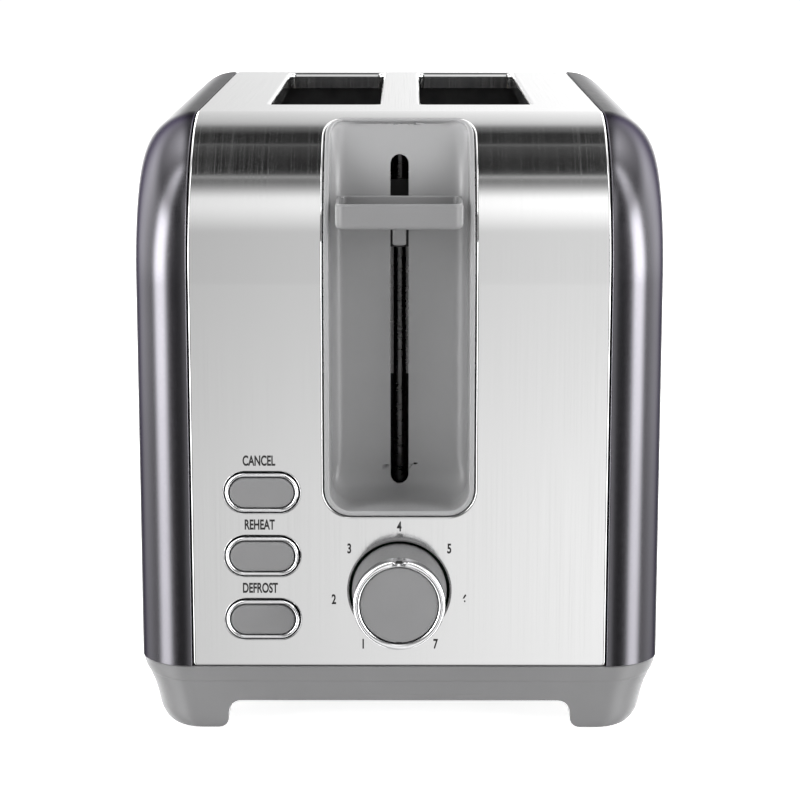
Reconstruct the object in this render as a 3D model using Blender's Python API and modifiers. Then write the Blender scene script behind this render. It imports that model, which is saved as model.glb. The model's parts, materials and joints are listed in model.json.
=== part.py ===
"""Two-slice pop-up toaster, built as separate sub-parts in metres, +Z up.

The origin is the centre of the bounding box's base. The control end faces -Y, the bread slots
run along Y, and the crumb tray and the cord gland are at the +Y end.
"""
from math import cos, pi, sin, sqrt

import bmesh
import bpy
from mathutils import Matrix, Vector

# Clearances
GAP = 0.0003                # between pieces that touch
SLIDE_GAP = 0.0006          # around a piece that slides or turns
OVERRUN = 0.004             # how far a cutter runs past the face it opens

# Bread slots in the top
SLOT_WIDTH = 0.037
CENTRE_WALL = 0.0138        # between the two slots
SLOT_BEHIND_SHOULDER = 0.0263
SLOT_BEFORE_SHOULDER = 0.0057
SLOT_CORNER = 0.0025
SLOT_FLANGE = 0.0065        # depth of the turned-down edge

# Body: a steel sheet over the front, top and rear, between two rounded cheeks
SHEET_MARGIN = 0.0221       # between a slot and the sheet's side edge
SHEET_THICKNESS = 0.0008
CHEEK_WIDTH = 0.0175
CHEEK_WALL = 0.002
BODY_LENGTH = 0.289
BODY_HEIGHT = 0.1943
SHOULDER_RADIUS = 0.050
BODY_BOTTOM = 0.0214        # height of the sheet's and the cheeks' lower edge
SHOULDER_STEPS = 10

# What stands out of the body's ends
DIAL_PROUD = 0.018
GLAND_PROUD = 0.006

# Base tray with four feet
BASE_BAND = 0.0050          # height of the upright band at the top of the base
BASE_BELOW_BAND = 0.0064    # height of the tapered part under the band
BASE_STEP = 0.0010          # how far the band is set in from the cheeks
BASE_TAPER = 0.0030
BASE_FLOOR = 0.0025
BASE_WALL = 0.0045
FOOT_WIDTH = 0.0185
FOOT_LENGTH = 0.021
FOOT_TAPER = 0.0025
FOOT_FLARE = 0.0024
FOOT_CORNER = 0.0045
SOLE_ROUND = 0.0008         # how far the sole's edge is rounded in
PAD_RADIUS = 0.0045
PAD_HEIGHT = 0.0021
PAD_PROUD = 0.0006
BOSS_RADIUS = 0.006
BOSS_HEIGHT = 0.0065
SCREW_RADIUS = 0.0016
SCREW_HEAD_RADIUS = 0.0035
SCREW_HEAD_HEIGHT = 0.0018
SCREW_TIP = 0.001

# Lever bezel: a channel let into the panel, open at the shoulder
BEZEL_WIDTH = 0.0472
BEZEL_BOTTOM = 0.07085
BEZEL_TOP_DROP = 0.0016     # from the top of the body to the bezel's upper end
BEZEL_CORNER = 0.0085
BEZEL_RIM = 0.00165
BEZEL_PROUD = 0.0004
CHANNEL_DEPTH = 0.022
CHANNEL_SCOOP = 0.010       # radius between the channel's floor and back
CHANNEL_FILLET = 0.005      # radius between its sides and back
CHANNEL_LEAN_RADIUS = 0.030 # where the back leans away, up to the shoulder
CHANNEL_LEAN_TURN = pi / 4
CHANNEL_LEAN_DROP = 0.00125 # from the shoulder's surface to the curve's upper end
LEVER_SLOT_WIDTH = 0.0058
LEVER_SLOT_TOP_DROP = 0.0118
LEVER_SLOT_RISE = 0.0058    # from the bezel's lower end to the slot's

# Lever and carriage, at the raised position
LEVER_STOP_GAP = 0.00375    # from the slot's lower end to the stem, with the lever down
LEVER_LIFT = 0.010
KNOB_SIDE_GAP = 0.00225     # to the channel's sides
KNOB_BACK_GAP = 0.0058      # to the channel's back
KNOB_HEIGHT = 0.0079
KNOB_PROUD = 0.008          # in front of the panel
KNOB_DROP = 0.0238          # from the body's top to the knob's
KNOB_WALL = 0.0013
KNOB_CORNER = 0.0013
STEM_WIDTH = 0.0043
STEM_LENGTH = 0.0060
STEM_BELOW_KNOB = 0.0072
ARM_RISE = 0.003            # from the stem's lower end to the arm's
ARM_THICKNESS = 0.0015
ARM_HEIGHT = 0.0070
SLIDER_WIDTH = 0.012
SLIDER_HEIGHT = 0.022
SLIDER_BEFORE_ROD = 0.005   # from the rod's middle to the slider's front face
ROD_RADIUS = 0.002
ROD_BEFORE_CARRIAGE = 0.0167
CARRIAGE_CLEARANCE = 0.006  # from the carriage plate to the chassis
CARRIAGE_MARGIN = 0.0056    # beyond the racks' middles
CARRIAGE_DROP = 0.046       # how far the carriage plate hangs under the slider
PLATE_THICKNESS = 0.0012
RACK_RISE = 0.004           # above the carriage plate's lower edge
RACK_THICKNESS = 0.0012
RACK_HEIGHT = 0.006
RACK_REACH = 0.016          # width of its cross fingers
RACK_OVERHANG = 0.004       # past the rear chassis plate
FINGER_COUNT = 7
FINGER_WIDTH = 0.0015
SPRING_RADIUS = 0.0032
SPRING_WIRE = 0.0009
SPRING_TURNS = 11
SPRING_OFFSET = 0.016       # from the middle, towards -X
SPRING_RISE = 0.022         # above the carriage plate's lower edge
KEEPER_WIDTH = 0.014
KEEPER_THICKNESS = 0.0015
MAGNET_OFFSET = 0.019       # from the middle, towards +X
MAGNET_BEHIND_ROD = 0.001
MAGNET_HEIGHT = 0.020
COIL_MARGIN = 0.003
COIL_INSET = 0.001          # from the core's lower end
COIL_CORNER = 0.002

# Chassis around the two bread chambers
CHASSIS_INSET = 0.006       # from the sheet's side edge
CHASSIS_THICKNESS = 0.001
CHASSIS_CLEARANCE = 0.0048  # beyond the ends of the bread slots
CHASSIS_TOP_GAP = 0.001
CHASSIS_CORNER = 0.004
RACK_SLOT_MARGIN = 0.003    # beyond the racks' travel
SHELF_THICKNESS = 0.001
SHELF_BEFORE_ROD = 0.006
SHELF_TOP_DROP = 0.0055     # below the chassis plate's upper edge
SHELF_LOW_RISE = 0.004      # above its lower edge
HEATER_THICKNESS = 0.0006
HEATER_TOP_GAP = 0.0175
HEATER_FOOT = 0.032
HEATER_BEHIND_SLOT = 0.0067 # from a slot's edge to its heater, away from the bread
CENTRE_HEATER_OFFSET = 0.0022
REFLECTOR_INSET = 0.0035    # from the chassis plate's side edge
REFLECTOR_THICKNESS = 0.0008
REFLECTOR_LIP = 0.004
REFLECTOR_BELOW = 0.006     # below the heaters
REFLECTOR_ABOVE = 0.004
GUARD_WIRE = 0.0016
GUARD_INSET = 0.0025        # from the slot's edge
GUARD_FOOT = 0.042
GUARD_TOP_DROP = 0.0205
GUARD_WIRES = 9
GUARD_END_GAP = 0.0015

# Controls
BUTTON_INSET = 0.0226       # from the sheet's side edge to the buttons' middles
BUTTON_TOP_Z = 0.0784
BUTTON_PITCH = 0.0207
BUTTON_NAMES = ("cancel", "reheat", "defrost")
BUTTON_WIDTH = 0.0202
BUTTON_HEIGHT = 0.0095
BUTTON_PROUD = 0.0012
BUTTON_DEPTH = 0.0036
BUTTON_STEM_RADIUS = 0.0025
BUTTON_TRAVEL = 0.0016
RING_WALL = 0.0012
RING_DEPTH = 0.0055
RING_SETBACK = 0.0003       # of the ring's face behind the button's
BUTTON_GAP = 0.00075        # around the ring, in the panel
GUIDE_SETBACK = 0.0085
GUIDE_THICKNESS = 0.002
DIAL_Z = 0.0464
DIAL_RADIUS = 0.0150
DIAL_FACE_RADIUS = 0.01435
DIAL_RING_WALL = 0.0019
DIAL_RING_DEPTH = 0.0045
DIAL_CAP_THICKNESS = 0.002
DIAL_CAP_SETBACK = 0.0006
DIAL_GAP = 0.0009
DIAL_INSERTION = 0.0025     # how far its skirt reaches behind the panel's face
DIAL_WALL = 0.002
DIAL_SKIRT = 0.001          # height of the dial's straight skirt in front of the panel
DIAL_EDGE = 0.0006
CAP_EDGE = 0.0003
SHAFT_RADIUS = 0.003
POT_RADIUS = 0.0085
POT_DEPTH = 0.0075
BOARD_CLEARANCE = 0.00055   # behind the lever's channel
BOARD_THICKNESS = 0.0016
BOARD_EDGE = 0.0145         # around the buttons' centres
BOARD_BOTTOM = 0.0235
BOARD_BELOW_BEZEL = 0.004
BOARD_RIGHT = 0.026
SWITCH_SIZE = 0.006
SWITCH_DEPTH = 0.0035
PLUNGER_RADIUS = 0.0017
PLUNGER_LENGTH = 0.0015

# Crumb tray and cord gland
TRAY_SIDE_INSET = 0.012     # from the sheet's side edges
TRAY_SETBACK = 0.040        # from the front panel
TRAY_END_INSET = 0.0005     # from the body's rear
TRAY_HEIGHT = 0.0050
TRAY_WALL = 0.001
TRAY_LIFT = 0.0004          # above the base's floor
PULL_WIDTH = 0.064
PULL_DEPTH = 0.0050
PULL_HEIGHT = 0.0085
PULL_CORNER = 0.003
GLAND_INSET = 0.018         # from the sheet's side edge
GLAND_Z = 0.034
GLAND_BORE = 0.0034
GLAND_BARREL = 0.0052
GLAND_FLANGE = 0.0080
GLAND_INSIDE = 0.006

# Places worked out from the sizes above
SLOT_X = (SLOT_WIDTH + CENTRE_WALL) / 2
HALF_SHEET = SLOT_X + SLOT_WIDTH / 2 + SHEET_MARGIN
HALF_WIDTH = HALF_SHEET + CHEEK_WIDTH
FRONT = DIAL_PROUD - (DIAL_PROUD + BODY_LENGTH + GLAND_PROUD) / 2
REAR = FRONT + BODY_LENGTH
SHEET_UNDER = BODY_HEIGHT - SHEET_THICKNESS
BASE_TOP = BODY_BOTTOM - GAP
BASE_CREASE = BASE_TOP - BASE_BAND
BASE_BOTTOM = BASE_CREASE - BASE_BELOW_BAND
FLOOR_TOP = BASE_BOTTOM + BASE_FLOOR
BASE_HALF = HALF_WIDTH - BASE_STEP
SLOT_FRONT = FRONT + SHOULDER_RADIUS + SLOT_BEHIND_SHOULDER
SLOT_REAR = REAR - SHOULDER_RADIUS - SLOT_BEFORE_SHOULDER
HALF_CHASSIS = HALF_SHEET - CHASSIS_INSET
PLATE_FRONT = SLOT_FRONT - CHASSIS_CLEARANCE - CHASSIS_THICKNESS
PLATE_REAR = SLOT_REAR + CHASSIS_CLEARANCE
CHAMBER_FRONT = PLATE_FRONT + CHASSIS_THICKNESS + GAP
CHAMBER_REAR = PLATE_REAR - GAP
BOSS_TOP = FLOOR_TOP + BOSS_HEIGHT
CHASSIS_BOTTOM = BOSS_TOP + GAP
CHASSIS_TOP = SHEET_UNDER - CHASSIS_TOP_GAP
CARRIAGE_Y = PLATE_FRONT - CARRIAGE_CLEARANCE - 2 * GAP - PLATE_THICKNESS
ROD_Y = CARRIAGE_Y - ROD_BEFORE_CARRIAGE
HALF_KNOB = BEZEL_WIDTH / 2 - BEZEL_RIM - KNOB_SIDE_GAP
KNOB_TOP = BODY_HEIGHT - KNOB_DROP
KNOB_BOTTOM = KNOB_TOP - KNOB_HEIGHT
KNOB_FRONT = FRONT - KNOB_PROUD
KNOB_REAR = FRONT + CHANNEL_DEPTH - KNOB_BACK_GAP
STEM_BOTTOM = KNOB_BOTTOM - STEM_BELOW_KNOB
LEVER_SLOT_LOW = BEZEL_BOTTOM + LEVER_SLOT_RISE
LEVER_TRAVEL = STEM_BOTTOM - LEVER_SLOT_LOW - LEVER_STOP_GAP
ARM_Z = STEM_BOTTOM + ARM_RISE
SLIDER_BOTTOM = ARM_Z + ARM_HEIGHT / 2 - SLIDER_HEIGHT / 2
SLIDER_TOP = SLIDER_BOTTOM + SLIDER_HEIGHT
SLIDER_FRONT = ROD_Y - SLIDER_BEFORE_ROD
CARRIAGE_BOTTOM = SLIDER_BOTTOM - CARRIAGE_DROP
RACK_Z = CARRIAGE_BOTTOM + RACK_RISE
SPRING_LOW = CARRIAGE_BOTTOM + SPRING_RISE
SHELF_TOP_Z = CHASSIS_TOP - SHELF_TOP_DROP
SHELF_LOW_Z = CHASSIS_BOTTOM + SHELF_LOW_RISE
MAGNET_LOW = SHELF_LOW_Z + SHELF_THICKNESS + GAP
MAGNET_TOP = MAGNET_LOW + MAGNET_HEIGHT
BUTTON_X = BUTTON_INSET - HALF_SHEET
BUTTON_Z = [BUTTON_TOP_Z - BUTTON_PITCH * index for index in range(len(BUTTON_NAMES))]
BOARD_Y = FRONT + CHANNEL_DEPTH + BEZEL_RIM + BOARD_CLEARANCE
HALF_TRAY = HALF_SHEET - TRAY_SIDE_INSET
TRAY_BOTTOM = FLOOR_TOP + TRAY_LIFT
TRAY_TOP = TRAY_BOTTOM + TRAY_HEIGHT
TRAY_REAR = REAR - TRAY_END_INSET
TRAY_FRONT = FRONT + TRAY_SETBACK

for item in list(bpy.data.objects):
    bpy.data.objects.remove(item, do_unlink=True)

PARTS = bpy.data.collections.new("pop_up_toaster")
CUTTERS = bpy.data.collections.new("cutters")
for collection in (PARTS, CUTTERS):
    bpy.context.scene.collection.children.link(collection)
CUTTERS.hide_render = True


def material(name, colour, roughness, metallic=0.0):
    """A Principled material with one colour."""
    made = bpy.data.materials.new(name)
    made.use_nodes = True
    shader = made.node_tree.nodes["Principled BSDF"]
    shader.inputs["Base Color"].default_value = (*colour, 1.0)
    shader.inputs["Roughness"].default_value = roughness
    shader.inputs["Metallic"].default_value = metallic
    return made


STEEL = material("satin_steel", (0.72, 0.72, 0.72), 0.28, 1.0)
GUNMETAL = material("brushed_gunmetal", (0.16, 0.155, 0.17), 0.38, 1.0)
GREY = material("grey_plastic", (0.30, 0.30, 0.31), 0.45)
CHROME = material("chrome", (0.85, 0.85, 0.86), 0.12, 1.0)
PLATED = material("plated_steel", (0.55, 0.55, 0.56), 0.35, 1.0)
DARK = material("dark_steel", (0.12, 0.12, 0.13), 0.5, 1.0)
WIRE = material("guard_wire", (0.60, 0.60, 0.61), 0.3, 1.0)
MICA = material("mica", (0.42, 0.36, 0.27), 0.7)
RUBBER = material("rubber", (0.03, 0.03, 0.03), 0.8)
BLACK = material("black_plastic", (0.03, 0.03, 0.035), 0.5)
BOARD = material("circuit_board", (0.08, 0.20, 0.10), 0.5)
COPPER = material("copper_winding", (0.55, 0.25, 0.12), 0.4, 1.0)


def place(mesh, name, origin, finish=None):
    """Link a mesh whose points are in world space as an object with its origin at a point."""
    mesh.name = name
    mesh.transform(Matrix.Translation([-value for value in origin]))
    made = bpy.data.objects.new(name, mesh)
    made.location = origin
    if finish is None:
        CUTTERS.objects.link(made)
        made.hide_render = True
        made.display_type = "WIRE"
    else:
        mesh.materials.append(finish)
        PARTS.objects.link(made)
    return made


def from_bmesh(shape, name, origin, finish=None):
    """Turn a closed bmesh into an object, with its faces pointing out."""
    bmesh.ops.recalc_face_normals(shape, faces=shape.faces[:])
    mesh = bpy.data.meshes.new(name)
    shape.to_mesh(mesh)
    shape.free()
    return place(mesh, name, origin, finish)


def box(name, low, high, finish=None):
    """A box from its lowest corner to its highest."""
    shape = bmesh.new()
    bmesh.ops.create_cube(shape, size=1.0)
    size = [top - bottom for bottom, top in zip(low, high)]
    middle = [(top + bottom) / 2 for bottom, top in zip(low, high)]
    bmesh.ops.scale(shape, vec=size, verts=shape.verts[:])
    bmesh.ops.translate(shape, vec=middle, verts=shape.verts[:])
    return from_bmesh(shape, name, middle, finish)


def rounded_rectangle(low, high, radius, steps=4):
    """Points of an upright rectangle with round corners, anticlockwise."""
    points = []
    corners = ((high[0], low[1], -pi / 2), (high[0], high[1], 0.0),
               (low[0], high[1], pi / 2), (low[0], low[1], pi))
    for across, up, start in corners:
        centre = (across + (radius if across == low[0] else -radius),
                  up + (radius if up == low[1] else -radius))
        for step in range(steps + 1):
            angle = start + pi / 2 * step / steps
            points.append((centre[0] + radius * cos(angle), centre[1] + radius * sin(angle)))
    return points


def obround(centre, width, height, steps=8):
    """Points of a slot shape with half-round ends, wide or tall."""
    radius = min(width, height) / 2
    return remove_repeats(rounded_rectangle((centre[0] - width / 2, centre[1] - height / 2),
                                            (centre[0] + width / 2, centre[1] + height / 2),
                                            radius, steps // 2))


def remove_repeats(points):
    """The points without any that repeat the one before."""
    kept = []
    for point in points:
        if not kept or max(abs(a - b) for a, b in zip(point, kept[-1])) > 1e-6:
            kept.append(point)
    if max(abs(a - b) for a, b in zip(kept[0], kept[-1])) < 1e-6:
        kept.pop()
    return kept


def circle(centre, radius, steps=24):
    """Points of a circle."""
    return [(centre[0] + radius * cos(2 * pi * step / steps),
             centre[1] + radius * sin(2 * pi * step / steps)) for step in range(steps)]


# Each plane's first two axes carry an outline, and the third is the direction it is extruded in
PLANES = {
    "XY": Matrix(((1, 0, 0, 0), (0, 1, 0, 0), (0, 0, 1, 0), (0, 0, 0, 1))),
    "XZ": Matrix(((1, 0, 0, 0), (0, 0, -1, 0), (0, 1, 0, 0), (0, 0, 0, 1))),
    "YZ": Matrix(((0, 0, 1, 0), (1, 0, 0, 0), (0, 1, 0, 0), (0, 0, 0, 1))),
}
NORMAL_SIGN = {"XY": 1, "XZ": -1, "YZ": 1}


def slab(name, outlines, plane, start, end, finish=None):
    """Extrude an outline, with any holes after it, from one coordinate to another."""
    curve = bpy.data.curves.new(name, "CURVE")
    curve.dimensions = "2D"
    curve.fill_mode = "BOTH"
    curve.extrude = abs(end - start) / 2
    for outline in outlines:
        spline = curve.splines.new("POLY")
        spline.points.add(len(outline) - 1)
        for point, (across, up) in zip(spline.points, outline):
            point.co = (across, up, 0.0, 1.0)
        spline.use_cyclic_u = True
    offset = Matrix.Translation((0, 0, NORMAL_SIGN[plane] * (start + end) / 2))
    return place(curve_mesh(curve, PLANES[plane] @ offset), name, (0, 0, 0), finish)


def curve_mesh(curve, matrix):
    """The welded mesh of a curve, moved by a matrix."""
    holder = bpy.data.objects.new(curve.name, curve)
    bpy.context.scene.collection.objects.link(holder)
    evaluated = holder.evaluated_get(bpy.context.evaluated_depsgraph_get())
    mesh = bpy.data.meshes.new_from_object(evaluated)
    bpy.data.objects.remove(holder, do_unlink=True)
    bpy.data.curves.remove(curve)
    shape = bmesh.new()
    shape.from_mesh(mesh)
    bmesh.ops.remove_doubles(shape, verts=shape.verts[:], dist=1e-6)
    bmesh.ops.recalc_face_normals(shape, faces=shape.faces[:])
    shape.to_mesh(mesh)
    shape.free()
    mesh.materials.clear()
    mesh.transform(matrix)
    if matrix.determinant() < 0:
        mesh.flip_normals()
    return mesh


def turned(name, profile, centre, toward_front, finish=None, steps=32):
    """Turn a profile of (radius, height) points about an axis: Z, or the one towards -Y."""
    mesh = bpy.data.meshes.new(name)
    count = len(profile)
    on_axis = profile[0][0] == 0.0
    edges = [(index, index + 1) for index in range(count - 1)]
    if not on_axis:
        edges.append((count - 1, 0))
    mesh.from_pydata([(radius, 0.0, height) for radius, height in profile], edges, [])
    made = bpy.data.objects.new(name, mesh)
    made.location = centre
    if toward_front:
        made.rotation_euler = (pi / 2, 0.0, 0.0)
    screw = made.modifiers.new("turn", "SCREW")
    screw.steps = steps
    screw.render_steps = steps
    screw.use_merge_vertices = True
    screw.merge_threshold = 1e-5
    screw.use_smooth_shade = True
    if finish is None:
        CUTTERS.objects.link(made)
        made.hide_render = True
        made.display_type = "WIRE"
    else:
        mesh.materials.append(finish)
        PARTS.objects.link(made)
    return made


def rod(name, centre, radius, low, high, toward_front=False, finish=None, steps=20):
    """A plain cylinder between two heights along its axis."""
    profile = [(0.0, high), (radius, high), (radius, low), (0.0, low)]
    return turned(name, profile, centre, toward_front, finish, steps)


def loft(name, sections, plane, finish=None):
    """Join outlines of equal point counts along the plane's third axis, and cap both ends."""
    shape = bmesh.new()
    rings = []
    for outline, level in sections:
        points = [PLANES[plane] @ Vector((across, up, NORMAL_SIGN[plane] * level))
                  for across, up in outline]
        rings.append([shape.verts.new(point) for point in points])
    count = len(rings[0])
    for lower, upper in zip(rings, rings[1:]):
        for index in range(count):
            following = (index + 1) % count
            shape.faces.new((lower[index], lower[following], upper[following], upper[index]))
    shape.faces.new(rings[0][::-1])
    shape.faces.new(rings[-1])
    return from_bmesh(shape, name, (0, 0, 0), finish)


def combine(target, tool, operation):
    """Add a Boolean modifier, and keep the tool among the cutters."""
    step = target.modifiers.new(tool.name, "BOOLEAN")
    step.operation = operation
    step.solver = "EXACT"
    step.object = tool
    return target


def cut(target, *tools):
    """Take the tools' shapes out of the target."""
    for tool in tools:
        combine(target, tool, "DIFFERENCE")
    return target


def add(target, *tools):
    """Join the tools' shapes to the target."""
    for tool in tools:
        combine(target, tool, "UNION")
    return target


def attach(anchor_name, anchor, pieces):
    """Parent moving pieces to an empty on their joint's axis."""
    empty = bpy.data.objects.new(anchor_name, None)
    empty.empty_display_size = 0.01
    empty.location = anchor
    PARTS.objects.link(empty)
    for piece in pieces:
        piece.parent = empty
        piece.location = [value - base for value, base in zip(piece.location, anchor)]


def body_profile(inset, bottom):
    """(Y, Z) points over the body from the front's lower edge to the rear's."""
    points = [(FRONT + inset, bottom)]
    height = BODY_HEIGHT - SHOULDER_RADIUS
    radius = SHOULDER_RADIUS - inset
    for centre, start in ((FRONT + SHOULDER_RADIUS, pi), (REAR - SHOULDER_RADIUS, pi / 2)):
        for step in range(SHOULDER_STEPS + 1):
            angle = start - pi / 2 * step / SHOULDER_STEPS
            points.append((centre + radius * cos(angle), height + radius * sin(angle)))
    points.append((REAR - inset, bottom))
    return points


def shoulder_height(depth):
    """Height of the shoulder's surface at a distance behind the front panel."""
    drop = SHOULDER_RADIUS - sqrt(SHOULDER_RADIUS ** 2 - (SHOULDER_RADIUS - depth) ** 2)
    return BODY_HEIGHT - drop


def shoulder_depth(height):
    """Distance behind the front panel of the shoulder's surface at a height."""
    rise = height - (BODY_HEIGHT - SHOULDER_RADIUS)
    return SHOULDER_RADIUS - sqrt(SHOULDER_RADIUS ** 2 - rise ** 2)


def make_body_wrap():
    """The steel sheet with its bread slots and the openings for the controls."""
    shape = bmesh.new()
    half = HALF_SHEET - GAP / 2
    rows = [[shape.verts.new((side * half, along, height))
             for along, height in body_profile(0.0, BODY_BOTTOM)] for side in (-1, 1)]
    for index in range(len(rows[0]) - 1):
        left, right = rows
        shape.faces.new((left[index], right[index], right[index + 1], left[index + 1]))
    mesh = bpy.data.meshes.new("body_wrap")
    shape.to_mesh(mesh)
    shape.free()
    wrap = place(mesh, "body_wrap", (0, 0, 0), STEEL)
    thickness = wrap.modifiers.new("sheet", "SOLIDIFY")
    thickness.thickness = SHEET_THICKNESS
    thickness.offset = -1.0
    thickness.use_even_offset = True
    wall = SHEET_THICKNESS
    for side, name in ((-1, "left"), (1, "right")):
        middle = side * SLOT_X
        low = (middle - SLOT_WIDTH / 2, SLOT_FRONT)
        high = (middle + SLOT_WIDTH / 2, SLOT_REAR)
        flange = slab(name + "_flange", [rounded_rectangle((low[0] - wall, low[1] - wall),
                                                           (high[0] + wall, high[1] + wall),
                                                           SLOT_CORNER + wall)], "XY",
                      BODY_HEIGHT - SLOT_FLANGE, BODY_HEIGHT - wall / 2)
        opening = slab(name + "_slot", [rounded_rectangle(low, high, SLOT_CORNER)], "XY",
                       BODY_HEIGHT - 2 * SLOT_FLANGE, BODY_HEIGHT + OVERRUN)
        add(wrap, flange)
        cut(wrap, opening)
    cut(wrap, bezel_block("bezel_opening", GAP))
    behind = FRONT + 2 * SHEET_THICKNESS
    for name, height in zip(BUTTON_NAMES, BUTTON_Z):
        margin = 2 * (GAP + RING_WALL + BUTTON_GAP)
        hole = obround((BUTTON_X, height), BUTTON_WIDTH + margin, BUTTON_HEIGHT + margin)
        cut(wrap, slab(name + "_hole", [hole], "XZ", FRONT - OVERRUN, behind))
    cut(wrap, rod("dial_hole", (0, FRONT, DIAL_Z), DIAL_RADIUS + DIAL_GAP, -OVERRUN, OVERRUN, True,
                  steps=32))
    cut(wrap, rod("gland_hole", (HALF_SHEET - GLAND_INSET, REAR, GLAND_Z), GLAND_BARREL + GAP,
                  -OVERRUN, OVERRUN, True))
    return wrap


def bezel_block(name, margin):
    """The bezel's outline from the front, extruded through the shoulder."""
    top = BODY_HEIGHT - BEZEL_TOP_DROP + margin
    low = (-BEZEL_WIDTH / 2 - margin, BEZEL_BOTTOM - margin)
    outline = rounded_rectangle(low, (-low[0], top), BEZEL_CORNER + margin, 5)
    return slab(name, [outline], "XZ", FRONT - OVERRUN, FRONT + SHOULDER_RADIUS)


def channel_back(offset):
    """(Y, Z) points along the channel's floor, scoop, back and lean, set back by an offset."""
    back = FRONT + CHANNEL_DEPTH
    scoop_y = back - CHANNEL_SCOOP
    scoop_z = BEZEL_BOTTOM + BEZEL_RIM + CHANNEL_SCOOP
    points = []
    for step in range(7):
        angle = pi / 2 * step / 6
        reach = CHANNEL_SCOOP + offset
        points.append((scoop_y + reach * sin(angle), scoop_z - reach * cos(angle)))
    lean_end = CHANNEL_DEPTH + CHANNEL_LEAN_RADIUS * (1 - cos(CHANNEL_LEAN_TURN))
    lean_top = shoulder_height(lean_end) - CHANNEL_LEAN_DROP
    lean_z = lean_top - CHANNEL_LEAN_RADIUS * sin(CHANNEL_LEAN_TURN)
    reach = CHANNEL_LEAN_RADIUS - offset
    for step in range(6):
        angle = CHANNEL_LEAN_TURN * step / 5
        points.append((back + CHANNEL_LEAN_RADIUS - reach * cos(angle), lean_z + reach * sin(angle)))
    return points


def make_lever_bezel():
    """A cup with a leaning back, whose face follows the panel and the shoulder."""
    top = BODY_HEIGHT - BEZEL_TOP_DROP
    end_depth = shoulder_depth(top) - 2 * GAP
    face = [(along, height) for along, height in body_profile(-BEZEL_PROUD, BEZEL_BOTTOM)
            if along < FRONT + end_depth]
    ceiling = channel_back(BEZEL_RIM)[-1][1]
    end = [(FRONT + end_depth, BODY_HEIGHT), (FRONT + end_depth, ceiling)]
    section = face + end + channel_back(BEZEL_RIM)[::-1]
    half = BEZEL_WIDTH / 2 + OVERRUN
    bezel = slab("lever_bezel", [section], "YZ", -half, half, GREY)
    combine(bezel, bezel_block("bezel_outline", 0.0), "INTERSECT")
    cut(bezel, channel_tool())
    high = BODY_HEIGHT - LEVER_SLOT_TOP_DROP
    lever_slot = obround((0, (LEVER_SLOT_LOW + high) / 2), LEVER_SLOT_WIDTH, high - LEVER_SLOT_LOW)
    cut(bezel, slab("lever_slot", [lever_slot], "XZ", FRONT + OVERRUN, FRONT + SHOULDER_RADIUS))
    return bezel


def channel_tool():
    """The channel's space: its section stacked across X, shallower in the side fillets."""
    before = FRONT - OVERRUN
    over = BODY_HEIGHT + OVERRUN
    half = BEZEL_WIDTH / 2 - BEZEL_RIM
    steps = 4
    stations = []
    for step in range(steps + 1):
        angle = pi / 2 * step / steps
        depth = CHANNEL_FILLET * (1 - sin(angle))
        stations.append((half - CHANNEL_FILLET * (1 - cos(angle)), depth))
    sections = []
    for across, depth in [(-across, depth) for across, depth in stations] + stations[::-1]:
        inside = channel_back(-depth)
        lean_end = inside[-1][0] + CHANNEL_SCOOP
        outline = [(before, inside[0][1])] + inside + [(lean_end, over), (before, over)]
        sections.append((outline, across))
    return loft("channel", sections, "YZ")


def make_cheek(name, side):
    """A side cover: the body's outline with a quarter-round edge, hollow behind."""
    outline = body_profile(0.0, BODY_BOTTOM)
    seam = HALF_SHEET + GAP / 2
    shape = bmesh.new()
    inner = [shape.verts.new((side * seam, along, height)) for along, height in outline]
    outer = [shape.verts.new((side * HALF_WIDTH, along, height)) for along, height in outline]
    rim = []
    for index in range(len(outline) - 1):
        shape.faces.new((inner[index], inner[index + 1], outer[index + 1], outer[index]))
        rim.append(shape.edges.get((outer[index], outer[index + 1])))
    shape.faces.new(outer)
    bmesh.ops.recalc_face_normals(shape, faces=shape.faces[:])
    bmesh.ops.bevel(shape, geom=rim, offset=CHEEK_WIDTH - GAP, segments=6, profile=0.5,
                    affect="EDGES", clamp_overlap=False)
    out = sum(face.normal.x * side * face.calc_area() for face in shape.faces)
    if out < 0:
        bmesh.ops.reverse_faces(shape, faces=shape.faces[:])
    mesh = bpy.data.meshes.new(name)
    shape.to_mesh(mesh)
    shape.free()
    cheek = place(mesh, name, (0, 0, 0), GUNMETAL)
    wall = cheek.modifiers.new("wall", "SOLIDIFY")
    wall.thickness = CHEEK_WALL
    wall.offset = -1.0
    wall.use_even_offset = True
    mesh.shade_smooth()
    return cheek


def base_outline(inset):
    """Plan outline of the base, set in from its band."""
    radius = CHEEK_WIDTH - inset / 2
    edge = BASE_STEP / 2 + inset
    return rounded_rectangle((-BASE_HALF + inset, FRONT + edge), (BASE_HALF - inset, REAR - edge),
                             radius, 5)


def foot_corners():
    """Signs and outer corners of the four feet, front first."""
    reach = BASE_HALF - BASE_TAPER
    setback = BASE_STEP / 2 + BASE_TAPER
    for along, end in (("front", FRONT + setback), ("rear", REAR - setback)):
        for side, sign in (("left", -1), ("right", 1)):
            inward = 1 if along == "front" else -1
            yield along + "_" + side, sign, inward, sign * reach, end


def foot_section(sign, inward, corner_x, corner_y, taper, flare):
    """A foot's plan outline, tapered at its outer sides and flared at its inner ones."""
    outer_x = corner_x - sign * taper
    outer_y = corner_y + inward * taper
    inner_x = corner_x - sign * (FOOT_WIDTH - flare)
    inner_y = corner_y + inward * (FOOT_LENGTH - flare)
    low = (min(outer_x, inner_x), min(outer_y, inner_y))
    high = (max(outer_x, inner_x), max(outer_y, inner_y))
    return rounded_rectangle(low, high, FOOT_CORNER, 3)


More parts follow.
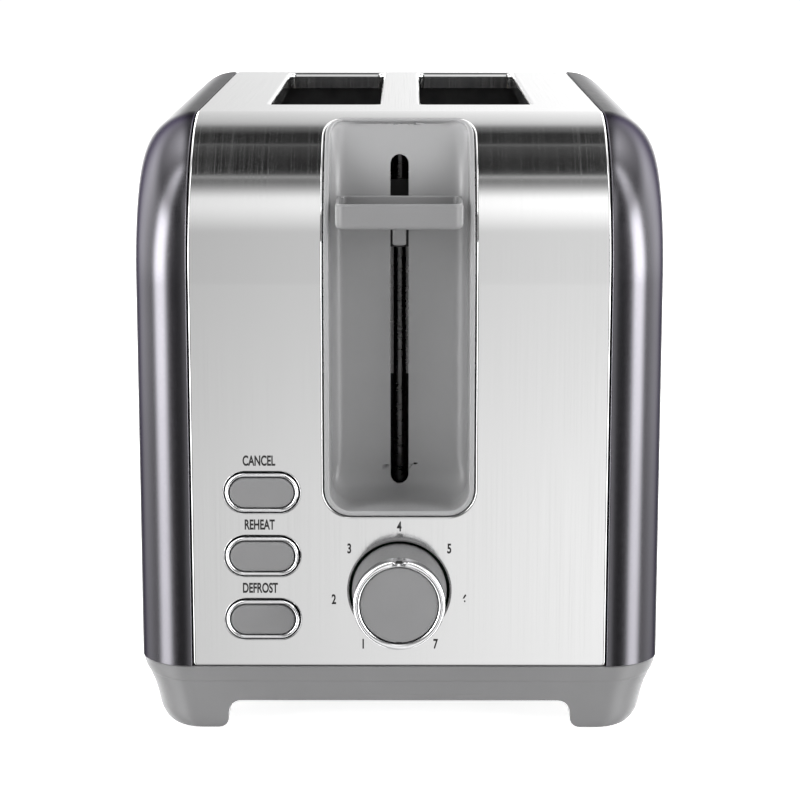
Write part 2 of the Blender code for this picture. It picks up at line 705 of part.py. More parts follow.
def make_base():
    """The base: a banded, tapered tray with four feet, screw bosses and the tray's doorway."""
    crease = GAP
    sections = [(base_outline(BASE_TAPER), BASE_BOTTOM),
                (base_outline(BASE_TAPER / 2), BASE_BOTTOM + BASE_BELOW_BAND / 2),
                (base_outline(crease), BASE_CREASE),
                (base_outline(0.0), BASE_CREASE + crease),
                (base_outline(0.0), BASE_TOP)]
    base = loft("base", sections, "XY", GREY)
    inset = BASE_WALL - BASE_STEP
    hollow = loft("base_hollow", [(base_outline(inset), FLOOR_TOP),
                                  (base_outline(inset), BASE_TOP + OVERRUN)], "XY")
    cut(base, hollow)
    for name, sign, inward, corner_x, corner_y in foot_corners():
        middle = (PAD_PROUD + BASE_BOTTOM) / 2
        levels = ((PAD_PROUD, FOOT_TAPER + SOLE_ROUND, 1.5 * SOLE_ROUND),
                  (PAD_PROUD + SOLE_ROUND, FOOT_TAPER, SOLE_ROUND / 2),
                  (middle, FOOT_TAPER / 2, 0.0),
                  ((middle + BASE_BOTTOM) / 2, FOOT_TAPER / 4, -FOOT_FLARE / 3),
                  (BASE_BOTTOM, 0.0, -FOOT_FLARE), (BASE_BOTTOM + BASE_FLOOR / 2, 0.0, -FOOT_FLARE))
        foot = loft(name + "_foot", [(foot_section(sign, inward, corner_x, corner_y, taper, flare),
                                      level) for level, taper, flare in levels], "XY")
        add(base, foot)
        centre = pad_centre(sign, inward, corner_x, corner_y)
        cut(base, rod(name + "_pocket", (*centre, 0), PAD_RADIUS + GAP, -OVERRUN, PAD_HEIGHT + GAP))
    for name, centre in screw_places():
        add(base, rod(name + "_boss", (*centre, 0), BOSS_RADIUS, BASE_BOTTOM + BASE_FLOOR / 2,
                      BOSS_TOP))
        cut(base, rod(name + "_counterbore", (*centre, BASE_BOTTOM), SCREW_HEAD_RADIUS + GAP,
                      -OVERRUN, SCREW_HEAD_HEIGHT + 2 * GAP))
        cut(base, rod(name + "_thread", (*centre, BASE_BOTTOM), SCREW_RADIUS + GAP, 0.0,
                      BOSS_TOP - BASE_BOTTOM - SCREW_TIP))
    half = HALF_TRAY + SLIDE_GAP
    cut(base, box("tray_doorway", (-half, REAR - 2 * BASE_WALL, FLOOR_TOP),
                  (half, REAR + OVERRUN, TRAY_TOP + SLIDE_GAP)))
    return base


def pad_centre(sign, inward, corner_x, corner_y):
    """The middle of a foot's sole."""
    return (corner_x - sign * (FOOT_WIDTH + FOOT_TAPER) / 2,
            corner_y + inward * (FOOT_LENGTH + FOOT_TAPER) / 2)


def screw_places():
    """Names and plan positions of the four base screws, under the chassis plates."""
    offset = HALF_CHASSIS + BOSS_RADIUS / 2
    for along, plate in (("front", PLATE_FRONT), ("rear", PLATE_REAR)):
        for side, sign in (("left", -1), ("right", 1)):
            yield f"{along}_{side}", (sign * offset, plate + CHASSIS_THICKNESS / 2)


def make_pads_and_screws():
    """Rubber pads under the feet, and the screws that hold the base."""
    for name, sign, inward, corner_x, corner_y in foot_corners():
        centre = pad_centre(sign, inward, corner_x, corner_y)
        rod(name + "_pad", (*centre, 0), PAD_RADIUS, 0.0, PAD_HEIGHT, finish=RUBBER)
    for name, centre in screw_places():
        low = BASE_BOTTOM + GAP
        neck = low + SCREW_HEAD_HEIGHT
        tip = BOSS_TOP - SCREW_TIP - GAP
        profile = [(0.0, tip), (SCREW_RADIUS, tip - SCREW_TIP), (SCREW_RADIUS, neck),
                   (SCREW_HEAD_RADIUS, neck), (SCREW_HEAD_RADIUS, low + GAP),
                   (SCREW_HEAD_RADIUS - GAP, low), (0.0, low)]
        turned(name + "_screw", profile, (*centre, 0), False, PLATED, 16)


def make_lever():
    """The lever knob, an open-topped tray on a stem, and the steel arm behind it."""
    half = HALF_KNOB
    knob = slab("lever_knob", [rounded_rectangle((-half, KNOB_FRONT), (half, KNOB_REAR),
                                                 KNOB_CORNER, 3)], "XY", KNOB_BOTTOM, KNOB_TOP, GREY)
    floor = KNOB_BOTTOM + KNOB_WALL
    cut(knob, box("knob_pocket", (-half + KNOB_WALL, KNOB_FRONT + KNOB_WALL, floor),
                  (half - KNOB_WALL, KNOB_REAR - KNOB_WALL, KNOB_TOP + OVERRUN)))
    stem_front = KNOB_REAR - STEM_LENGTH
    stem_half = STEM_WIDTH / 2
    stem_top = ARM_Z + ARM_HEIGHT + KNOB_WALL
    add(knob, box("knob_stem", (-stem_half, stem_front, STEM_BOTTOM),
                  (stem_half, KNOB_REAR - GAP / 2, stem_top)))
    arm_half = ARM_THICKNESS / 2
    socket = (arm_half + GAP, stem_front + KNOB_WALL)
    cut(knob, box("stem_socket", (-socket[0], socket[1], ARM_Z - GAP),
                  (socket[0], KNOB_REAR + OVERRUN, ARM_Z + ARM_HEIGHT + GAP)))
    arm = box("lever_arm", (-arm_half, socket[1] + GAP, ARM_Z),
              (arm_half, SLIDER_FRONT - GAP, ARM_Z + ARM_HEIGHT), PLATED)
    return [knob, arm]


def make_carriage():
    """The slider on the guide rod, the carriage plate, its keeper and the two bread racks."""
    half = SLIDER_WIDTH / 2
    slider = box("carriage_slider", (-half, SLIDER_FRONT, SLIDER_BOTTOM),
                 (half, CARRIAGE_Y - GAP, SLIDER_TOP), BLACK)
    cut(slider, rod("slider_bore", (0, ROD_Y, 0), ROD_RADIUS + GAP, SLIDER_BOTTOM - OVERRUN,
                    SLIDER_TOP + OVERRUN))
    reach = SLOT_X + CARRIAGE_MARGIN
    plate = box("carriage_plate", (-reach, CARRIAGE_Y, CARRIAGE_BOTTOM),
                (reach, CARRIAGE_Y + PLATE_THICKNESS, SLIDER_TOP), PLATED)
    lug = SPRING_LOW - 2 * GAP
    add(plate, box("spring_lug", (-SPRING_OFFSET - SPRING_RADIUS, ROD_Y, lug - PLATE_THICKNESS),
                   (-SPRING_OFFSET + SPRING_RADIUS, CARRIAGE_Y + PLATE_THICKNESS / 2, lug)))
    keeper_low = MAGNET_TOP + GAP + LEVER_TRAVEL
    keeper = box("keeper_plate",
                 (MAGNET_OFFSET - KEEPER_WIDTH / 2, ROD_Y - SHELF_BEFORE_ROD, keeper_low),
                 (MAGNET_OFFSET + KEEPER_WIDTH / 2, CARRIAGE_Y - GAP, keeper_low + KEEPER_THICKNESS),
                 DARK)
    pieces = [slider, plate, keeper]
    front = CARRIAGE_Y + PLATE_THICKNESS + GAP
    rear = PLATE_REAR + CHASSIS_THICKNESS + RACK_OVERHANG
    step = (SLOT_REAR - SLOT_FRONT) / FINGER_COUNT
    for name, side in (("left_rack", -1), ("right_rack", 1)):
        middle = side * SLOT_X
        blade = (middle - RACK_THICKNESS / 2, middle + RACK_THICKNESS / 2)
        rack = box(name, (blade[0], front, RACK_Z), (blade[1], rear, RACK_Z + RACK_HEIGHT), PLATED)
        for index in range(FINGER_COUNT):
            along = SLOT_FRONT + step * (index + 0.5)
            add(rack, box(f"{name}_finger_{index}",
                          (middle - RACK_REACH / 2, along - FINGER_WIDTH / 2,
                           RACK_Z + RACK_HEIGHT - 2 * FINGER_WIDTH),
                          (middle + RACK_REACH / 2, along + FINGER_WIDTH / 2,
                           RACK_Z + RACK_HEIGHT - FINGER_WIDTH / 2)))
        pieces.append(rack)
    return pieces


def make_return_spring():
    """A coil from the carriage's lug up to the chassis shelf."""
    high = SHELF_TOP_Z - 2 * GAP - SPRING_WIRE / 2
    curve = bpy.data.curves.new("return_spring", "CURVE")
    curve.dimensions = "3D"
    curve.bevel_depth = SPRING_WIRE / 2
    curve.bevel_resolution = 1
    curve.use_fill_caps = True
    spline = curve.splines.new("POLY")
    per_turn = 8
    count = SPRING_TURNS * per_turn
    spline.points.add(count)
    start = SPRING_LOW + SPRING_WIRE / 2
    for index, point in enumerate(spline.points):
        angle = 2 * pi * index / per_turn
        point.co = (SPRING_RADIUS * cos(angle), SPRING_RADIUS * sin(angle),
                    start + (high - start) * index / count, 1.0)
    move = Matrix.Translation((-SPRING_OFFSET, ROD_Y + SPRING_RADIUS, 0))
    return place(curve_mesh(curve, move), "return_spring",
                 (-SPRING_OFFSET, ROD_Y + SPRING_RADIUS, high), PLATED)


def make_chassis():
    """The two end plates of the chambers, with slots for the racks, and the guide rod."""
    slot_low = RACK_Z - LEVER_TRAVEL - RACK_SLOT_MARGIN
    slot_high = RACK_Z + RACK_HEIGHT + LEVER_LIFT + RACK_SLOT_MARGIN
    rack_slots = [obround((side * SLOT_X, (slot_low + slot_high) / 2),
                          RACK_THICKNESS + 4 * SLIDE_GAP, slot_high - slot_low, 4)
                  for side in (-1, 1)]
    edge = rounded_rectangle((-HALF_CHASSIS, CHASSIS_BOTTOM), (HALF_CHASSIS, CHASSIS_TOP),
                             CHASSIS_CORNER, 2)
    plates = {}
    for name, along in (("front_chassis_plate", PLATE_FRONT), ("rear_chassis_plate", PLATE_REAR)):
        plates[name] = slab(name, [edge] + rack_slots, "XZ", along, along + CHASSIS_THICKNESS, DARK)
    for name, height in (("shelf_low", SHELF_LOW_Z), ("shelf_top", SHELF_TOP_Z)):
        shelf = box(name, (-SPRING_OFFSET - SPRING_RADIUS, ROD_Y - SHELF_BEFORE_ROD, height),
                    (MAGNET_OFFSET + KEEPER_WIDTH / 2 + COIL_MARGIN,
                     PLATE_FRONT + CHASSIS_THICKNESS / 2, height + SHELF_THICKNESS))
        add(plates["front_chassis_plate"], shelf)
    rod("guide_rod", (0, ROD_Y, 0), ROD_RADIUS, MAGNET_LOW, SHELF_TOP_Z - GAP, finish=PLATED)


def make_magnet():
    """The electromagnet that holds the lever down: an iron core in a wound coil."""
    middle = ROD_Y + MAGNET_BEHIND_ROD
    core_half = KEEPER_WIDTH / 2 - COIL_MARGIN
    box("magnet_core", (MAGNET_OFFSET - core_half, middle - core_half, MAGNET_LOW),
        (MAGNET_OFFSET + core_half, middle + core_half, MAGNET_TOP), DARK)
    outlines = []
    for reach, corner in ((core_half + COIL_MARGIN, COIL_CORNER), (core_half + GAP, GAP)):
        outlines.append(rounded_rectangle((MAGNET_OFFSET - reach, middle - reach),
                                          (MAGNET_OFFSET + reach, middle + reach), corner, 2))
    slab("magnet_coil", outlines, "XY", MAGNET_LOW + COIL_INSET, MAGNET_TOP - COIL_MARGIN, COPPER)


def make_heaters():
    """Mica heater boards either side of each chamber, and the reflectors outside them."""
    outer = SLOT_X + SLOT_WIDTH / 2 + HEATER_BEHIND_SLOT
    top = SHEET_UNDER - HEATER_TOP_GAP
    for name, offset in (("left_heater", -outer), ("centre_left_heater", -CENTRE_HEATER_OFFSET),
                         ("centre_right_heater", CENTRE_HEATER_OFFSET), ("right_heater", outer)):
        box(name, (offset - HEATER_THICKNESS / 2, CHAMBER_FRONT, HEATER_FOOT),
            (offset + HEATER_THICKNESS / 2, CHAMBER_REAR, top), MICA)
    for name, side in (("left_reflector", -1), ("right_reflector", 1)):
        face = side * (HALF_CHASSIS - REFLECTOR_INSET)
        lip = face - side * REFLECTOR_LIP
        bottom = HEATER_FOOT - REFLECTOR_BELOW
        height = top + REFLECTOR_ABOVE
        path = [(lip, bottom), (face, bottom), (face, height), (lip, height)]
        shape = bmesh.new()
        rows = [[shape.verts.new((across, along, up)) for across, up in path]
                for along in (CHAMBER_FRONT, CHAMBER_REAR)]
        for index in range(len(path) - 1):
            corners = (rows[0][index], rows[0][index + 1], rows[1][index + 1], rows[1][index])
            shape.faces.new(corners if side > 0 else corners[::-1])
        mesh = bpy.data.meshes.new(name)
        shape.to_mesh(mesh)
        shape.free()
        plate = place(mesh, name, (0, 0, 0), PLATED)
        wall = plate.modifiers.new("wall", "SOLIDIFY")
        wall.thickness = REFLECTOR_THICKNESS
        wall.offset = 1.0
        wall.use_even_offset = True


def make_guards():
    """Four bread guards: grids of upright wires on two rails, hinged at the lower rail."""
    low_y = SLOT_FRONT - GUARD_END_GAP
    high_y = SLOT_REAR + GUARD_END_GAP
    top = BODY_HEIGHT - GUARD_TOP_DROP
    spacing = (high_y - low_y - GUARD_WIRE) / (GUARD_WIRES - 1)
    for side_name, side in (("left", -1), ("right", 1)):
        for place_name, sign in (("outer", 1), ("inner", -1)):
            middle = side * (SLOT_X + sign * (SLOT_WIDTH / 2 - GUARD_INSET))
            name = f"{side_name}_{place_name}_guard"
            holes = []
            for index in range(GUARD_WIRES - 1):
                start = low_y + GUARD_WIRE + spacing * index
                holes.append(rounded_rectangle((start, GUARD_FOOT + GUARD_WIRE),
                                               (start + spacing - GUARD_WIRE, top - GUARD_WIRE),
                                               GUARD_WIRE / 4, 1))
            edge = rounded_rectangle((low_y, GUARD_FOOT), (high_y, top), GUARD_WIRE / 2, 1)
            guard = slab(name, [edge] + holes, "YZ", middle - GUARD_WIRE / 2,
                         middle + GUARD_WIRE / 2, WIRE)
            attach(name + "_pivot", (middle, 0, GUARD_FOOT + GUARD_WIRE / 2), [guard])


def make_buttons():
    """Three sprung buttons with plated rings, their guide and their switches."""
    face = FRONT - BUTTON_PROUD
    stem_end = BOARD_Y - GAP - SWITCH_DEPTH - PLUNGER_LENGTH - BUTTON_TRAVEL - GAP
    holes = []
    for name, height in zip(BUTTON_NAMES, BUTTON_Z):
        centre = (BUTTON_X, height)
        button = slab(name + "_button", [obround(centre, BUTTON_WIDTH, BUTTON_HEIGHT)], "XZ",
                      face, face + BUTTON_DEPTH, GREY)
        stem = rod(name + "_stem", (BUTTON_X, 0, height), BUTTON_STEM_RADIUS,
                   -stem_end, -(face + BUTTON_DEPTH / 2), True, steps=16)
        add(button, stem)
        inner = (BUTTON_WIDTH + 2 * GAP, BUTTON_HEIGHT + 2 * GAP)
        ring_front = face + RING_SETBACK
        ring = slab(name + "_ring", [obround(centre, inner[0] + 2 * RING_WALL,
                                             inner[1] + 2 * RING_WALL),
                                     obround(centre, *inner)], "XZ",
                    ring_front, ring_front + RING_DEPTH, CHROME)
        attach(name + "_press_axis", (BUTTON_X, face, height), [button, ring])
        holes.append(circle(centre, BUTTON_STEM_RADIUS + SLIDE_GAP, 16))
        half = SWITCH_SIZE / 2
        back = BOARD_Y - GAP
        front = back - SWITCH_DEPTH
        switch = box(name + "_switch", (BUTTON_X - half, front, height - half),
                     (BUTTON_X + half, back, height + half), BLACK)
        add(switch, rod(name + "_plunger", (BUTTON_X, 0, height), PLUNGER_RADIUS,
                        -(front + SWITCH_DEPTH / 2), -(front - PLUNGER_LENGTH), True, steps=12))
    low = (BUTTON_X - BOARD_EDGE, BUTTON_Z[-1] - BOARD_EDGE / 2)
    high = (BUTTON_X + BOARD_EDGE, BUTTON_Z[0] + BOARD_EDGE / 2)
    guide_y = FRONT + GUIDE_SETBACK
    slab("button_guide", [rounded_rectangle(low, high, 0.002, 2)] + holes, "XZ",
         guide_y, guide_y + GUIDE_THICKNESS, BLACK)


def make_control_board():
    """The board behind the controls, cut away behind the lever's channel."""
    left = BUTTON_X - BOARD_EDGE
    inner = BUTTON_X + BOARD_EDGE
    low_top = BEZEL_BOTTOM - BOARD_BELOW_BEZEL
    high_top = BUTTON_Z[0] + BOARD_EDGE
    outline = [(left, BOARD_BOTTOM), (BOARD_RIGHT, BOARD_BOTTOM), (BOARD_RIGHT, low_top),
               (inner, low_top), (inner, high_top), (left, high_top)]
    slab("control_board", [outline], "XZ", BOARD_Y, BOARD_Y + BOARD_THICKNESS, BOARD)


def make_dial():
    """The browning dial: skirted body, plated ring, face cap and shaft."""
    centre = (0, FRONT, DIAL_Z)
    ring_back = DIAL_PROUD - DIAL_RING_DEPTH
    body_front = ring_back - GAP
    cap_back = DIAL_PROUD - DIAL_CAP_SETBACK - DIAL_CAP_THICKNESS
    bore = SHAFT_RADIUS + GAP
    inner = DIAL_FACE_RADIUS - DIAL_RING_WALL
    cavity = DIAL_RADIUS - DIAL_WALL
    depth = body_front - 2 * DIAL_WALL
    spigot = inner - GAP
    profile = [(0.0, cap_back - GAP), (spigot, cap_back - GAP), (spigot, body_front),
               (DIAL_FACE_RADIUS - CAP_EDGE, body_front), (DIAL_RADIUS, DIAL_SKIRT),
               (DIAL_RADIUS, -DIAL_INSERTION), (cavity, -DIAL_INSERTION), (cavity, depth),
               (bore + DIAL_WALL, depth), (bore + DIAL_WALL, 0.0), (bore, 0.0),
               (bore, body_front - DIAL_WALL), (0.0, body_front - DIAL_WALL)]
    knob = turned("dial_knob", profile, centre, True, GREY)
    ring = turned("dial_ring", [(DIAL_FACE_RADIUS - DIAL_EDGE, DIAL_PROUD),
                                (DIAL_FACE_RADIUS, DIAL_PROUD - DIAL_EDGE),
                                (DIAL_FACE_RADIUS, ring_back), (inner, ring_back),
                                (inner, DIAL_PROUD - DIAL_EDGE / 2),
                                (inner + DIAL_EDGE / 2, DIAL_PROUD)], centre, True, CHROME)
    cap_front = DIAL_PROUD - DIAL_CAP_SETBACK
    cap = turned("dial_cap", [(0.0, cap_front), (spigot - CAP_EDGE, cap_front),
                              (spigot, cap_front - CAP_EDGE), (spigot, cap_back), (0.0, cap_back)],
                 centre, True, GREY)
    pot_front = BOARD_Y - GAP - POT_DEPTH
    shaft_end = FRONT - (pot_front - GAP)
    shaft = rod("dial_shaft", centre, SHAFT_RADIUS, shaft_end, body_front - DIAL_WALL - GAP, True,
                PLATED)
    attach("dial_axis", centre, [knob, ring, cap, shaft])
    rod("potentiometer", (0, 0, DIAL_Z), POT_RADIUS, -(BOARD_Y - GAP), -pot_front, True, BLACK)


def make_crumb_tray():
    """The crumb tray, an open pan that slides out at the rear, with its pull."""
    tray = box("crumb_tray", (-HALF_TRAY, TRAY_FRONT, TRAY_BOTTOM), (HALF_TRAY, TRAY_REAR, TRAY_TOP),
               PLATED)
    inside = HALF_TRAY - TRAY_WALL
    cut(tray, box("tray_hollow", (-inside, TRAY_FRONT + TRAY_WALL, TRAY_BOTTOM + TRAY_WALL),
                  (inside, TRAY_REAR - TRAY_WALL, TRAY_TOP + OVERRUN)))
    middle = (TRAY_BOTTOM + TRAY_TOP) / 2
    pull = slab("crumb_tray_pull", [rounded_rectangle((-PULL_WIDTH / 2, middle - PULL_HEIGHT / 2),
                                                      (PULL_WIDTH / 2, middle + PULL_HEIGHT / 2),
                                                      PULL_CORNER, 3)], "XZ",
                TRAY_REAR + GAP, TRAY_REAR + GAP + PULL_DEPTH, GREY)
    attach("crumb_tray_slide_axis", (0, TRAY_REAR, middle), [tray, pull])


def make_cord_gland():
    """The flanged bush that the cord passes through in the rear panel."""
    neck = GLAND_PROUD * 0.4
    inside = -(SHEET_THICKNESS + GLAND_INSIDE)
    profile = [(GLAND_BARREL, inside), (GLAND_BORE, inside), (GLAND_BORE, GLAND_PROUD),
               (GLAND_BARREL, GLAND_PROUD), (GLAND_FLANGE, neck), (GLAND_FLANGE, GAP),
               (GLAND_BARREL, GAP)]
    gland = turned("cord_gland", profile, (HALF_SHEET - GLAND_INSET, REAR, GLAND_Z), False, BLACK, 24)
    gland.rotation_euler = (-pi / 2, 0.0, 0.0)


def smooth_round_pieces():
    """Shade curved pieces smooth, with hard corners kept."""
    for piece in PARTS.objects:
        if piece.type == "MESH" and piece.data.polygons:
            piece.data.shade_smooth()
            piece.data.set_sharp_from_angle(angle=pi / 6)


make_body_wrap()
make_lever_bezel()
make_cheek("left_cheek", -1)
make_cheek("right_cheek", 1)
make_base()
make_pads_and_screws()
attach("lever_slide_axis", (0, ROD_Y, ARM_Z), make_lever() + make_carriage())
make_return_spring()
make_chassis()
make_magnet()
make_heaters()
make_guards()
make_buttons()
make_control_board()
make_dial()
make_crumb_tray()
make_cord_gland()
smooth_round_pieces()
bpy.context.view_layer.update()
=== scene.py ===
"""Looks of the two-slice pop-up toaster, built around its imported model. Metres, +Z up.

The control end faces -Y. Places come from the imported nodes' boxes where a node has the shape, and
are sizes in millimetres where scene.py refines it. A shape that follows the steel sheet is laid
out flat first, as distances across and along the sheet, and then bent.
"""
import json
from math import asin, atan, cos, degrees, pi, radians, sin, sqrt

import bmesh
import bpy
from mathutils import Matrix, Vector


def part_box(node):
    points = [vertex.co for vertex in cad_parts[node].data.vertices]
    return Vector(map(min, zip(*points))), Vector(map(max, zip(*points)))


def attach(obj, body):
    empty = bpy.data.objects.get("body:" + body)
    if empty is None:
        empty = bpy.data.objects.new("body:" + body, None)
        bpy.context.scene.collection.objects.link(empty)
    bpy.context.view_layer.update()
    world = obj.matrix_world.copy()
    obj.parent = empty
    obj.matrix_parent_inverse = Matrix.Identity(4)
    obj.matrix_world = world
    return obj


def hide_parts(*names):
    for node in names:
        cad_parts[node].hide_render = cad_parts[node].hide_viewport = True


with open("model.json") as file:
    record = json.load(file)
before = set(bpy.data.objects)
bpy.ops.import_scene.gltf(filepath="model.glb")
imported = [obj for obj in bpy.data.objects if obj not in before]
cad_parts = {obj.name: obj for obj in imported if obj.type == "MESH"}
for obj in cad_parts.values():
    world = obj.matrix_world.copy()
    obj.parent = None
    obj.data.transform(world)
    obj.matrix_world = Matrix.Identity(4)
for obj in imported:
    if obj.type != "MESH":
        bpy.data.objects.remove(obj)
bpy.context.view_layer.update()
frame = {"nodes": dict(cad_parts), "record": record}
RECORD = frame["record"]
BODY_OF = {node: body for body, nodes in RECORD["behaviour"]["bodies"].items() for node in nodes}
SLOT_OF = {part["node"]: part["material_slot"] for part in RECORD["subparts"]}
BOX = {node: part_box(node) for node in frame["nodes"]}

MM = 0.001

# The body, from its boxes
WRAP_LOW, WRAP_HIGH = BOX["body_wrap"]
FRONT, REAR = WRAP_LOW.y, WRAP_HIGH.y
BOTTOM, TOP = WRAP_LOW.z, WRAP_HIGH.z
HALF_SHEET = WRAP_HIGH.x
SIDE = BOX["right_cheek"][1].x
SEAM = BOX["right_cheek"][0].x
SHOULDER = 50 * MM
FLAT_FRONT = TOP - SHOULDER - BOTTOM
ROLL = SHOULDER * pi / 2
FLAT_TOP = REAR - FRONT - 2 * SHOULDER
SHEET_LENGTH = 2 * (FLAT_FRONT + ROLL) + FLAT_TOP
SHEET_THICKNESS = 0.35 * MM
BENDS = 48                      # lines that each shoulder is bent along
CHEEK_BENDS = 40

# Openings in the sheet, and how its edges turn in: the turn's radius, and the flange's depth
HEM_STEPS = 6
HEMS = {"sheet": (0.8 * MM, 2.2 * MM), "bread slot": (1.5 * MM, 6.0 * MM),
        "channel": (0.8 * MM, 1.6 * MM), "button": (0.45 * MM, 1.4 * MM),
        "dial": (0.8 * MM, 1.8 * MM), "gland": (0.4 * MM, 1.0 * MM)}
SHEET_CORNER = 1.2 * MM
BREAD_SLOT_CORNER = 2.5 * MM
GUARD_GAP = 1.7 * MM            # a bread slot is wider than its guards by this on each side
GUARD_OVERLAP = 1.5 * MM        # and ends this much short of theirs
BEZEL_GAP = 0.3 * MM
CONTROL_GAP = 0.9 * MM          # beside the dial, and both sides of a button's ring together
GLAND_HOLE_RADIUS = 5.6 * MM
BUTTONS = ("cancel", "reheat", "defrost")
BELOW = 4 * MM                  # how far a cutter runs past what it cuts
AXIS = 0.0001 * MM              # the radius a turned profile starts or ends at

# Studio: brightness of the bands over the object, by angle from the front horizon over the top,
# set so that the steel reflects bands where the photo shows them
BANDS = ((-90, .50), (-17, 1.20), (-13.6, 1.20), (-8, .95), (31, .92), (38, 1.16), (44, 1.36),
         (50, 1.50), (57, 1.50), (62, .95), (66, .52), (70, .26), (73.5, .30), (75, .75),
         (76.5, .10), (82, .028), (90, .034), (105, .085), (107, .20), (108.5, .04), (121, .036),
         (124, .12), (130, .24), (136, .74), (142, .90), (150, .98), (160, 1.02), (190, 1.02),
         (230, .60))
# Brightness around the sides, and of the upright strip light there, by angle from the front
SIDES = ((0, .13), (30, .15), (45, .35), (80, .45), (100, .22), (150, .45), (180, .9))
STRIP = ((0, 0.0), (44, 0.0), (53, 1.0), (70, 1.0), (80, 0.0), (180, 0.0))
STRIP_LIGHT = 7.5
STRIP_RISE = ((-60, .30), (-18, .55), (-8, 1.0), (0, 1.25), (28, 1.25), (42, .30), (90, .12))
SIDE_START, SIDE_END = 0.12, 0.24   # sideways share of a direction where the sides take over
TILT_TO_RIGHT = 2.2             # how much brighter the front bands grow towards +X
TILT_LEAST, TILT_MOST = 0.72, 1.30
WHITE = 1.05                    # the backdrop, as the camera sees it
FLOOR_SIZE = 4.0
FLOOR_GLOW = 0.8                # lifts the floor to the backdrop's white, for the camera alone

# Camera
CAMERA_X = 2.67 * MM
CAMERA_DISTANCE = 767.24 * MM   # in front of the panel
CAMERA_Z = 260.95 * MM
CAMERA_PITCH = radians(11.264)
CAMERA_YAW = radians(0.183)
CAMERA_LENS = 112.5


def on_body(across, along, out=0.0):
    """A point off the sheet: across it, along it from the front's lower edge, and out of it."""
    reach = SHOULDER + out
    if along <= FLAT_FRONT:
        return Vector((across, FRONT - out, BOTTOM + along))
    along -= FLAT_FRONT
    if along <= ROLL:
        turn = along / SHOULDER
        return Vector((across, FRONT + SHOULDER - reach * cos(turn),
                       TOP - SHOULDER + reach * sin(turn)))
    along -= ROLL
    if along <= FLAT_TOP:
        return Vector((across, FRONT + SHOULDER + along, TOP + out))
    along -= FLAT_TOP
    if along <= ROLL:
        turn = along / SHOULDER
        return Vector((across, REAR - SHOULDER + reach * sin(turn),
                       TOP - SHOULDER + reach * cos(turn)))
    return Vector((across, REAR + out, TOP - SHOULDER - (along - ROLL)))


def turned_normal(along, across_part, along_part, out_part):
    """A direction given on the flat sheet, as it is after the bend."""
    out = on_body(0.0, along, 1.0) - on_body(0.0, along, 0.0)
    forward = out.cross(Vector((1, 0, 0)))
    return Vector((across_part, 0, 0)) + forward * along_part + out * out_part


def on_front(height):
    """Distance along the sheet of a height on the front panel or its shoulder."""
    rise = height - (TOP - SHOULDER)
    if rise <= 0:
        return height - BOTTOM
    return FLAT_FRONT + SHOULDER * asin(min(rise / SHOULDER, 1.0))


def on_top(depth):
    """Distance along the sheet of a Y place on the flat top."""
    return FLAT_FRONT + ROLL + depth - FRONT - SHOULDER


# ---------------------------------------------------------------- outlines


def edge_points(low, high, corner, steps=8):
    """Points of a rounded rectangle, anticlockwise, each with its outward direction."""
    wide, tall = (corner, corner) if isinstance(corner, float) else corner
    points = []
    for right, upper, start in ((1, 0, -90), (1, 1, 0), (0, 1, 90), (0, 0, 180)):
        middle = ((high[0] - wide) if right else (low[0] + wide),
                  (high[1] - tall) if upper else (low[1] + tall))
        for step in range(steps + 1):
            turn = radians(start + 90 * step / steps)
            points.append((Vector((middle[0] + wide * cos(turn), middle[1] + tall * sin(turn))),
                           Vector((cos(turn), sin(turn)))))
    return without_repeats(points)


def without_repeats(points):
    """The points without any that lie on the one before."""
    return [pair for index, pair in enumerate(points)
            if (pair[0] - points[index - 1][0]).length > 1e-7]


def obround_points(centre, width, height, steps=12):
    """Points of a slot shape with half-round ends, with their outward directions."""
    radius = min(width, height) / 2
    low = (centre[0] - width / 2, centre[1] - height / 2)
    high = (centre[0] + width / 2, centre[1] + height / 2)
    return edge_points(low, high, radius, steps)


def circle_points(centre, radius, steps=64):
    """Points of a circle with their outward directions."""
    turns = [2 * pi * step / steps for step in range(steps)]
    return [(Vector((centre[0] + radius * cos(turn), centre[1] + radius * sin(turn))),
             Vector((cos(turn), sin(turn)))) for turn in turns]


def laid(outline, height):
    """An outline's points laid flat at a height."""
    return [Vector((point.x, point.y, height)) for point, off in outline]


def stood(outline, depth):
    """An outline's points stood up, facing the front, at a Y place."""
    return [Vector((point.x, depth, point.y)) for point, off in outline]


def inset_box(low, high, inset, corner, steps):
    """Points of a rounded rectangle set in from two corners given as pairs."""
    return edge_points((low[0] + inset, low[1] + inset), (high[0] - inset, high[1] - inset),
                       corner, steps)


def centre_of(node):
    """The middle of a node's box."""
    low, high = BOX[node]
    return (low + high) / 2


# ---------------------------------------------------------------- pieces


def link(name, data):
    """A new object in the scene."""
    made = bpy.data.objects.new(name, data)
    bpy.context.scene.collection.objects.link(made)
    return made


def settle(name, mesh, like, *replaced):
    """Make a mesh a piece with a node's body and finish, in place of the nodes named."""
    piece = link(name, mesh)
    mesh.materials.clear()
    mesh.materials.append(finish_of(SLOT_OF[like]))
    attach(piece, BODY_OF[like])
    if replaced:
        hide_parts(*replaced)
    return piece


def mesh_from(name, shape):
    """A mesh from a bmesh, which is freed."""
    mesh = bpy.data.meshes.new(name)
    shape.to_mesh(mesh)
    shape.free()
    return mesh


def shade(mesh, sharp):
    """Smooth shading, except at corners sharper than an angle in degrees."""
    mesh.shade_smooth()
    mesh.set_sharp_from_angle(angle=radians(sharp))
    return mesh


def from_shape(name, shape, like, *replaced, sharp=35):
    """A piece from a bmesh."""
    bmesh.ops.recalc_face_normals(shape, faces=shape.faces[:])
    return settle(name, shade(mesh_from(name, shape), sharp), like, *replaced)


